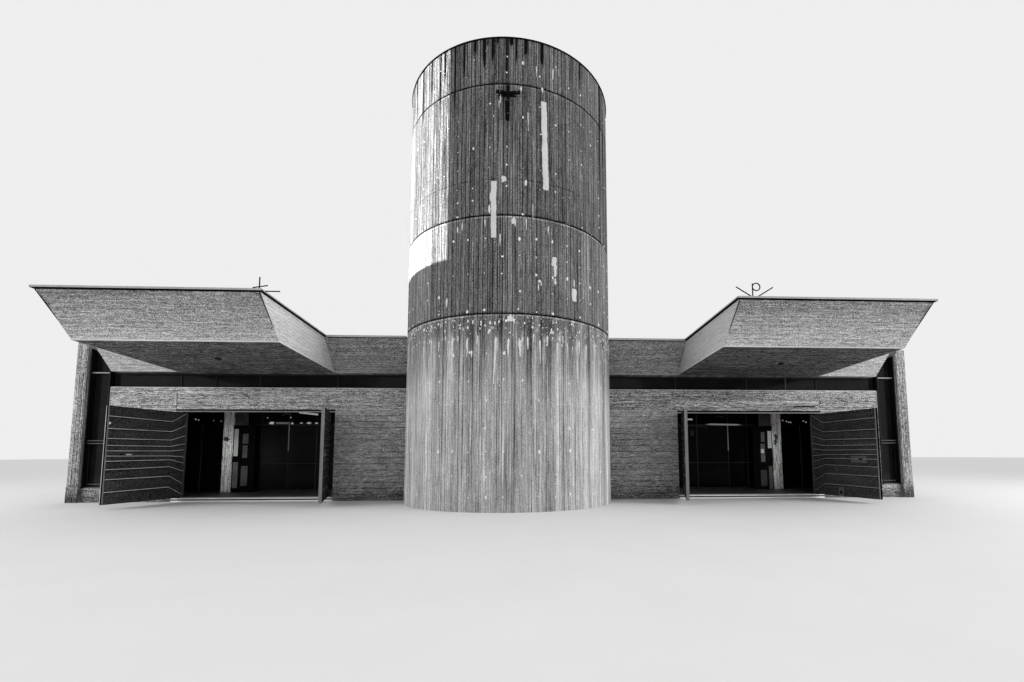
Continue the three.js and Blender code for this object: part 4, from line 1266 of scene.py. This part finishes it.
for k, (word, s) in enumerate(SIDES):
    build_fascia(k, word, s)
    build_canopy(k, word, s)
    build_canopy_soffit(k, word, s)
    build_canopy_arris(k, word, s)
    build_coping(k, word, s)
build_back_fascia()
build_roofing()
paint(CORE_X, *both("fascia_inner", "fascia_outer", "canopy_fascia", "canopy_slab"))
paint(FLASH, *both("canopy_coping"))
paint(CORE_Y, *both("light_slot_roof"))
paint(FELT, "roof_slab")
paint(FLOOR, "floor_slab")


# Glazing
def build_bars(name, near, front, seed):
    """Frames and bars of the strip under the roof and of the tall slots."""
    build = Build(name, seed)
    bottom, top = 0.401, 4.419

    def bar(x0, x1, z0, z1, slot=0, y0=0.123, y1=0.187):
        if not front:
            y0, y1 = DEPTH - y0, DEPTH - y1
        build.box((x0, y0, z0), (x1, y1, z1), slot)

    for s in (-1, 1):
        bar(s * near, s * WALL_END, BAND_TOP + 0.001, BAND_TOP + 0.040, 3)
        bar(s * near, s * WALL_END, SOFFIT - 0.035, SOFFIT - 0.001, 1)
        for x in (3.1, JAMB_IN, 7.385, JAMB_OUT, 11.47):
            if x > near:
                bar(s * (x - 0.019), s * (x + 0.019), BAND_TOP + 0.03, SOFFIT - 0.03, 1)
        bar(s * 8.635, s * 8.665, BAND_TOP + 0.03, SOFFIT - 0.03, 0 if s > 0 else 1)
        x0, x1 = WALL_END + 0.001, SIDE_IN - 0.001
        for z0, z1 in ((bottom, 0.445), (4.375, top)):
            bar(s * x0, s * x1, z0, z1, 1)
        bar(s * (ROOF_END + 0.001), s * (WALL_END + 0.01), 3.735, top)
        # the slot's deep frame, with two sashes in it
        in0, in1 = x0 + 0.030, x1 - 0.030
        bar(s * x0, s * in0, bottom, top, 1, -0.035, 0.149)
        bar(s * in1, s * x1, bottom, top, 1, -0.035, 0.149)
        for z0, z1, slot in ((bottom, 0.43, 0), (1.655, 1.683, 0), (1.735, 1.763, 0), (3.705, 3.735, 2),
                             (4.39, top, 0)):
            bar(s * in0, s * in1, z0, z1, slot, 0.02, 0.149)
        for z1 in (0.52, 1.655):
            bar(s * in0, s * (x0 + 0.062), 0.43, z1, 1, 0.09, 0.149)
            bar(s * (x1 - 0.062), s * in1, 0.43, z1, 1, 0.09, 0.149)
        bar(s * (x0 + 0.062), s * (x1 - 0.062), 0.49, 0.52, 0, 0.09, 0.149)
    build.done([BAR, DARKBAR, PALEBAR, SHADE], bevel=0.003, slot="dark_metal")


build_bars("front_window_bars", 2.93, True, 400)
build_bars("back_window_bars", 0.0, False, 401)
paint(GLASS, *both("front_glazing", "back_glazing"))
paint(LEFTGLASS, "left_lobby_screen")
paint(DARKGLASS, "right_lobby_screen")

# Inside the entrances
CEILING = 3.728
SCREEN_FRONT, SCREEN_BACK = 2.575, 2.635
LAMP_BACK = 2.6002
# sheets on the notice boards: x, z and material
LEFT_SHEETS = (
    (9.13, 9.262, 1.30, 2.21, 1), (9.10, 9.262, 0.24, 1.10, 2), (8.80, 8.98, 1.72, 2.05, 3),
    (8.82, 8.97, 1.24, 1.66, 3), (8.78, 8.99, 0.31, 0.97, 3),
)
RIGHT_SHEETS = (
    (9.13, 9.262, 1.546, 2.154, 4), (8.886, 9.015, 1.77, 2.12, 2), (8.864, 9.011, 1.06, 1.70, 2),
    (9.13, 9.262, 0.105, 0.914, 2), (8.83, 9.05, 0.21, 0.775, 3),
)
# lamps and small plates on the left screen's transom: outline, front face and material
LEFT_LAMPS = (
    (((-7.60, 2.40), (-7.50, 2.40), (-7.55, 2.47)), 2.55, 0),
    (((-7.27, 2.41), (-7.18, 2.44), (-7.27, 2.46)), 2.55, 0),
    (((-7.07, 2.437), (-6.98, 2.475), (-6.90, 2.437), (-6.98, 2.40)), 2.55, 0),
    (((-8.33, 2.435), (-8.27, 2.475), (-8.16, 2.475), (-8.20, 2.435), (-8.16, 2.395), (-8.29, 2.395)),
     2.545, 0),
    (((-7.326, 2.776), (-6.686, 2.704), (-6.686, 2.767), (-7.326, 2.832)), 2.56, 0),
    (((-7.894, 2.700), (-7.78, 2.742), (-7.68, 2.742), (-7.57, 2.695), (-7.57, 2.722), (-7.68, 2.776),
      (-7.78, 2.776), (-7.894, 2.728)), 2.56, 2),
)
RIGHT_LAMP = ((7.02, 2.415), (7.20, 2.388), (8.14, 2.372), (8.34, 2.398), (8.14, 2.422), (7.20, 2.438))
# round lamps: x, z and radius
LEFT_SPOTS = ((-10.80, 2.56, 0.03), (-10.70, 2.54, 0.025), (-10.2, 2.52, 0.018), (-9.95, 2.50, 0.02),
              (-8.4, 2.62, 0.02), (-7.62, 2.63, 0.025))
RIGHT_SPOTS = ((9.93, 2.56, 0.028), (10.06, 2.53, 0.022), (10.14, 2.50, 0.025), (10.22, 2.49, 0.03),
               (10.70, 2.54, 0.025), (10.80, 2.50, 0.03))


def build_columns(k, word, s):
    posts = Build(f"{word}_column_boards", 420 + k)
    for x, y, h in ((s * 9.465, 2.4, 0.165), (s * 9.62, DEPTH - 2.4, 0.18)):
        left, right, near, far = x - h, x + h, y - h, y + h
        for a, b, out in (
            ((left, near), (right, near), FRONTWARD), ((right, far), (left, far), BACKWARD),
            ((left, far), (left, near), (-1, 0, 0)), ((right, near), (right, far), (1, 0, 0)),
        ):
            posts.wall(a, b, 0.102, CEILING, out, upright=True, rows=3, proud=0.006, lengths=(5, 6))
    posts.done([POST])


def build_screen(k, word, s):
    bars = Build(f"{word}_screen_bars", 430 + k)
    pale = 7.65 if s < 0 else 7.85
    for x in (3.4, 4.5, 5.6, 6.7, pale, 8.55, 9.4, 10.62, 11.4):
        wide = 0.014 if x == pale else 0.022
        for z0, z1 in ((FLOOR_TOP, 1.47), (1.47, 2.40), (2.40, CEILING)):
            slot = 1 if x == pale and z0 == 1.47 else 0
            bars.box((s * (x - wide), SCREEN_FRONT, z0), (s * (x + wide), SCREEN_BACK, z1), slot)
    bars.box((s * 10.53, SCREEN_FRONT - 0.01, FLOOR_TOP), (s * 10.55, SCREEN_BACK, 2.36), 2)
    for z0, z1 in ((FLOOR_TOP, 0.16), (2.35, 2.42), (3.68, CEILING), (1.02, 1.05)):
        bars.box((s * 0.3, SCREEN_FRONT + 0.005, z0), (s * 12.09, SCREEN_BACK - 0.005, z1))
    bars.done([DARKBAR, PALEBAR, BAR], bevel=0.002, slot="dark_metal")


def build_notice_board(k, word, s):
    """A notice board beside the column, standing on the floor."""
    board = Build(f"{word}_notice_board", 440 + k)
    board.box((s * 8.60, 2.226, FLOOR_TOP), (s * 9.285, 2.262, 2.30))
    for x0, x1, z0, z1 in ((8.58, 8.612, FLOOR_TOP, 2.33), (9.265, 9.29, FLOOR_TOP, 2.33),
                           (8.58, 9.29, 2.30, 2.335)):
        board.box((s * x0, 2.216, z0), (s * x1, 2.268, z1))
    if s > 0:
        board.box((8.864, 2.210, 1.373), (8.97, 2.2145, 1.515), 4)
    for x0, x1, z0, z1, slot in LEFT_SHEETS if s < 0 else RIGHT_SHEETS:
        board.box((s * x0, 2.214, z0), (s * x1, 2.2262, z1), slot)
    board.box((s * 8.84, 2.24, 2.334), (s * 9.285, 2.262, 3.7285), 3)
    board.done([BLACK, PAPER, DIM, DARKPAPER, SPOT], bevel=0.0015, slot="dark_metal")


def build_lobby_lamps(k, word, s):
    lamps = Build(f"{word}_lobby_lamps", 446 + k)
    if s > 0:
        lamps.prism("xz", RIGHT_LAMP, 2.50, LAMP_BACK, 4)
        lamps.box((6.374, 2.56, 2.565), (6.556, LAMP_BACK, 2.619))
        for q in range(9):
            x, z = 6.348 + q * 0.083, 2.36 - q * 0.008
            lamps.box((x, 2.57, z), (x + 0.042, LAMP_BACK, z + 0.025), 2)
        lamps.box((6.454, 2.57, 2.008), (6.595, LAMP_BACK, 2.207), 3)
        for q in range(4):
            x, z = 7.415 + q * 0.09, 2.67 + (q % 2) * 0.03
            lamps.box((x, 2.57, z), (x + 0.04, LAMP_BACK, z + 0.03), 2)
    else:
        lamps.box((-8.09, 2.552, 2.402), (-7.64, LAMP_BACK, 2.468), 1)
        lamps.box((-6.77, 2.552, 2.41), (-6.68, LAMP_BACK, 2.455))
        for outline, front, slot in LEFT_LAMPS:
            lamps.prism("xz", outline, front, LAMP_BACK, slot)
    for x, z, radius in LEFT_SPOTS if s < 0 else RIGHT_SPOTS:
        lamps.disc((x, 2.5998, z), FRONTWARD, radius, 0.012, sides=10, rough=0.1)
    lamps.done([LAMP, PAPER, DIM, DARKPAPER, DIMLAMP], bevel=0.003, slot="pale_metal")


def build_column_marks(k, word, s):
    marks = Build(f"{word}_column_marks", 448 + k)
    if s < 0:
        dark, pale, sides = ((-9.52, 1.86, 0.22, 0.15),), (), 12
    else:
        dark = ((9.44, 1.95, 0.15, 0.2), (9.42, 1.80, 0.12, 0.2), (9.40, 1.70, 0.08, 0.1))
        pale = ((9.40, 0.42, 0.02, 0.3), (9.44, 0.30, 0.03, 0.4), (9.48, 0.36, 0.02, 0.36),
                (9.42, 0.16, 0.06, 0.08))
        sides = 11
    for spots, slot in ((dark, 1), (pale, 0)):
        for x, z, wide, tall in spots:
            marks.plug((x, 2.2305, z), FRONTWARD, wide, tall, 0.004, slot=slot, sides=sides)
    marks.done([SPOT, DARKPAPER])


def build_entrance(k, word, s):
    a, b = sorted((s * (JAMB_IN + 0.0003), s * (JAMB_OUT - 0.0003)))
    # the step's top is near white, a painted highlight where light falls on it, over a riser painted as
    # shadow
    sill = Build(f"{word}_threshold_step", 450 + k)
    sill.box((a, 0.012, 0.0), (b, WALL, 0.082), 1)
    sill.box((a, -0.02, 0.0), (b, 0.02, 0.034))
    for x0, x1 in parts(a, b, 5):
        sill.box((x0 + 0.0015, -0.016, 0.072), (x1 - 0.0015, WALL, 0.1))
    sill.done([STEP, SHADE], bevel=0.003, replaces=[f"{word}_threshold"])
    head = Build(f"{word}_head_channel", 460 + k)
    for y0, y1, z0, z1, slot in (
        (0.015, 0.085, 2.645, 2.6597, 0), (0.015, 0.022, 2.585, 2.65, 0), (0.078, 0.085, 2.585, 2.65, 0),
        (0.022, 0.078, 2.60, 2.606, 1), (0.003, 0.016, 2.619, 2.6597, 2), (0.006, 0.016, 2.590, 2.617, 0),
    ):
        head.box((a, y0, z0), (b, y1, z1), slot)
    head.done([FRAME, BAR, SHADE], bevel=0.0015, replaces=[f"{word}_head_frame"], slot="pale_metal")


for k, (word, s) in enumerate(SIDES):
    build_columns(k, word, s)
    build_screen(k, word, s)
    build_notice_board(k, word, s)
    build_lobby_lamps(k, word, s)
    build_column_marks(k, word, s)
    build_entrance(k, word, s)
paint(CORE_UP, *both("front_column", "back_column"))

# Door leaves: how far down each ledge is at the free edge, at the bend and at the hung edge
FREE = (0.106, 0.233, 0.335, 0.406, 0.460, 0.513, 0.566, 0.651, 0.751, 0.878)
BEND = (0.117, 0.232, 0.330, 0.403, 0.456, 0.512, 0.556, 0.636, 0.743, 0.867)
HUNG = (0.014, 0.157, 0.276, 0.370, 0.440, 0.525, 0.597, 0.690, 0.833, 0.958)
LOW, HIGH = 0.115, 2.56
HUNG_X, BEND_X, FREE_X = -0.14, 0.36, 2.08
PIVOT_Y, FACE_Y = 0.05, 0.027
# x of each pivot, and how many degrees the leaf stands open
PIVOTS = {"inner": (5.300, 107), "outer": (9.470, 102)}
BATTEN = 0.085
# a ledge has a sloped top, an upright nose and an undercut foot; its paler metal is a painted highlight, and
# a painted shadow line runs under it
LEDGE_PROFILE = ((0.027, 0.010), (0.0395, 0.0055), (0.0395, -0.0045), (0.027, -0.008))
LINE_PROFILE = ((0.029, -0.004), (0.0335, -0.004), (0.0335, -0.026), (0.029, -0.030))
# plates on both faces: x, y and z of two corners, and material
LEFT_PLATES = (
    (1.36, 0.030, 1.257, 1.83, 0.0375, 1.436, 1), (1.44, 0.0365, 1.33, 1.58, 0.0396, 1.36, 0),
    (1.66, 0.0365, 1.33, 1.74, 0.0396, 1.36, 3), (0.86, 0.030, 0.16, 0.885, 0.0372, 0.285, 3),
)
RIGHT_PLATES = (
    (1.26, 0.030, 1.085, 1.73, 0.0375, 1.27, 1), (1.50, 0.036, 1.16, 1.62, 0.0396, 1.20, 2),
    (0.80, 0.030, LOW + 0.002, 0.965, 0.0392, 0.365, 1), (0.845, 0.038, 0.17, 0.915, 0.0397, 0.27, 3),
)


def height(share):
    return HIGH - share * (HIGH - LOW)


def build_leaf(number, word, which, side):
    """A leaf's facing, and the ledges, plates and hems on it. At rest it stands open, as in the photo."""
    inner = which == "inner"
    x, swing = PIVOTS[which]
    towards = side if inner else -side
    closed = 0 if towards > 0 else 180
    ledge_end = HUNG_X + (0.012 if inner else 0.088)
    turn = Matrix.Rotation(math.radians(closed - towards * swing), 4, "Z")
    turn = Matrix.Translation((side * x, PIVOT_Y, 0)) @ turn
    body = f"{word}_{which}_leaf"
    build = Build(f"{body}_facing", 500 + number, turn)
    trim = Build(f"{body}_ledges", 520 + number, turn)
    build.box((HUNG_X, -FACE_Y, LOW), (FREE_X - 0.014, FACE_Y, HIGH), 1)
    lines = [(0.0, 0.0, 0.0), *zip(HUNG, BEND, FREE), (1.0, 1.0, 1.0)]

    def rail(face, run, profile, slot, end_slot):
        """A closed strip on one side of the leaf, along a bent line."""
        rings = [[trim.point((px, face * d, pz + h)) for d, h in profile] for px, pz in run]
        for ring, following in zip(rings, rings[1:]):
            for m, n in around(4):
                trim.face([ring[m], ring[n], following[n], following[m]][::-face], slot=slot)
        trim.face(rings[0][::face], slot=end_slot)
        trim.face(rings[-1][::-face], slot=end_slot)

    for face in (-1, 1):
        y = face * FACE_Y
        near = face == -side
        # an inner leaf's face towards the drum takes the darker facing and dim ledges, painted shade
        drumward = inner and near
        for upper, lower in zip(lines, lines[1:]):
            for q, (xa, xb) in enumerate(((HUNG_X + 0.02, BEND_X), (BEND_X, FREE_X - 0.03))):
                top = [height(share) - 0.012 for share in upper[q:q + 2]]
                low = [height(share) + 0.012 for share in lower[q:q + 2]]
                rows = max(1, round((top[1] - low[1]) / BATTEN))
                build.planks((xa, y, low[0]), (xb, y, low[1]), (xb, y, top[1]), (xa, y, top[0]), (0, face, 0),
                             rows, proud=0.0045, gap=0.0015, chamfer=0.0015, lengths=(8, 9), step=0.001,
                             slot=drumward * 2)
        for hung, bend, free in lines[1:-1]:
            run = [(ledge_end, height(hung)), (BEND_X, height(bend)), (FREE_X - 0.026, height(free))]
            rail(face, run, LEDGE_PROFILE, 5 if drumward else 0, 0)
            rail(face, run, LINE_PROFILE, 3, 3)
        # hems at the ends: thin strips on the two edges of a dark core, toned by leaf and face as painted
        # light and shade
        hem = 6 if inner else 5 if near else 3 if side > 0 else 0
        trim.box((FREE_X - 0.024, y, LOW), (FREE_X - 0.0005, face * 0.0385, HIGH), hem)
        trim.box((HUNG_X, y, LOW), (HUNG_X + 0.012, face * 0.036, HIGH), 3)
        if not inner:
            build.box((HUNG_X + 0.013, y, LOW), (HUNG_X + 0.084, face * 0.034, HIGH), tone=4.5)
        for x0, y0, z0, x1, y1, z1, slot in RIGHT_PLATES if side > 0 else LEFT_PLATES:
            trim.box((x0, face * y0, z0), (x1, face * y1, z1), slot)
        if side < 0:
            trim.disc((2.03, face * 0.0315, 2.124), (0, face, 0), 0.030, 0.007, slot=4, sides=14, rough=0.05)
    trim.box((FREE_X - 0.014, -0.0268, LOW), (FREE_X - 0.004, 0.0268, HIGH), 6 if inner else 3)
    for z0, z1 in ((0.1003, 0.12), (HIGH - 0.01, 2.5847)):
        trim.rod((0, 0, z0), (0, 0, z1), 0.03, 20, 2)
    build.done([SKIN, LEDGE_SHADOW, DARKSKIN], body, replaces=[body], slot="door_cladding")
    metals = [PALE_LEDGE, DARKPLATE] if side < 0 else [LEDGE, PLATE]
    trim.done([*metals, IRON, LEDGE_SHADOW, SPOT, HEM, CAP], body, slot="door_cladding")


for k, (word, s) in enumerate(SIDES):
    build_leaf(2 * k, word, "inner", s)
    build_leaf(2 * k + 1, word, "outer", s)


# Floor and light
def build_stage(size=220.0):
    mesh = bpy.data.meshes.new("floor")
    corners = [(x * size, y * size, 0) for x, y in ((-1, -1), (1, -1), (1, 1), (-1, 1))]
    mesh.from_pydata(corners, [], [(0, 1, 2, 3)])
    ground = bpy.data.objects.new("floor", mesh)
    bpy.context.collection.objects.link(ground)
    g = Graph("pale_floor")
    mesh.materials.append(g.finish(g.total(0.86, (g.noise(g.place, 0.8, 4.0), 0.03)),
                                   g.total(0.9, (g.noise(g.place, 4.0), 0.1))))
    world = bpy.data.worlds.new("studio")
    bpy.context.scene.world = world
    world.use_nodes = True
    background = world.node_tree.nodes["Background"]
    background.inputs[0].default_value = (0.86, 0.86, 0.86, 1)
    background.inputs[1].default_value = 1.0


def soft_light(name, place, aim, wide, tall, watts, spread=180.0):
    made = bpy.data.lights.new(name, "AREA")
    made.shape = "RECTANGLE"
    made.size, made.size_y = wide, tall
    made.energy = watts
    made.spread = math.radians(spread)
    lamp = bpy.data.objects.new(name, made)
    lamp.location = (place[0], place[1] + SHIFT, place[2])
    lamp.rotation_mode = "QUATERNION"
    lamp.rotation_quaternion = (Vector(place) - Vector(aim)).to_track_quat("Z", "Y")
    lamp.visible_camera = False
    lamp.visible_glossy = False
    bpy.context.collection.objects.link(lamp)


build_stage()
soft_light("left_softbox", (-27, -13, 9), (0, -1, 4), 15, 9, 3200)
soft_light("right_softbox", (27, -13, 9), (0, -1, 4), 15, 9, 4600)
# low light from the far left that grazes the upper drum, as from a gridded softbox
soft_light("grazing_light", (-13, -0.1, 9.2), (0, -0.1, 9.2), 5.5, 6.2, 1080, 0.3)
soft_light("left_door_softbox", (-7.5, -13, 1.3), (-8.6, 2.4, 1.3), 1.2, 1.2, 6.5, 8)
soft_light("right_door_softbox", (7.5, -13, 1.3), (8.6, 2.4, 1.3), 1.2, 1.2, 4.5, 8)

bpy.context.scene.view_settings.view_transform = "Standard"
bpy.context.scene.view_settings.look = "None"
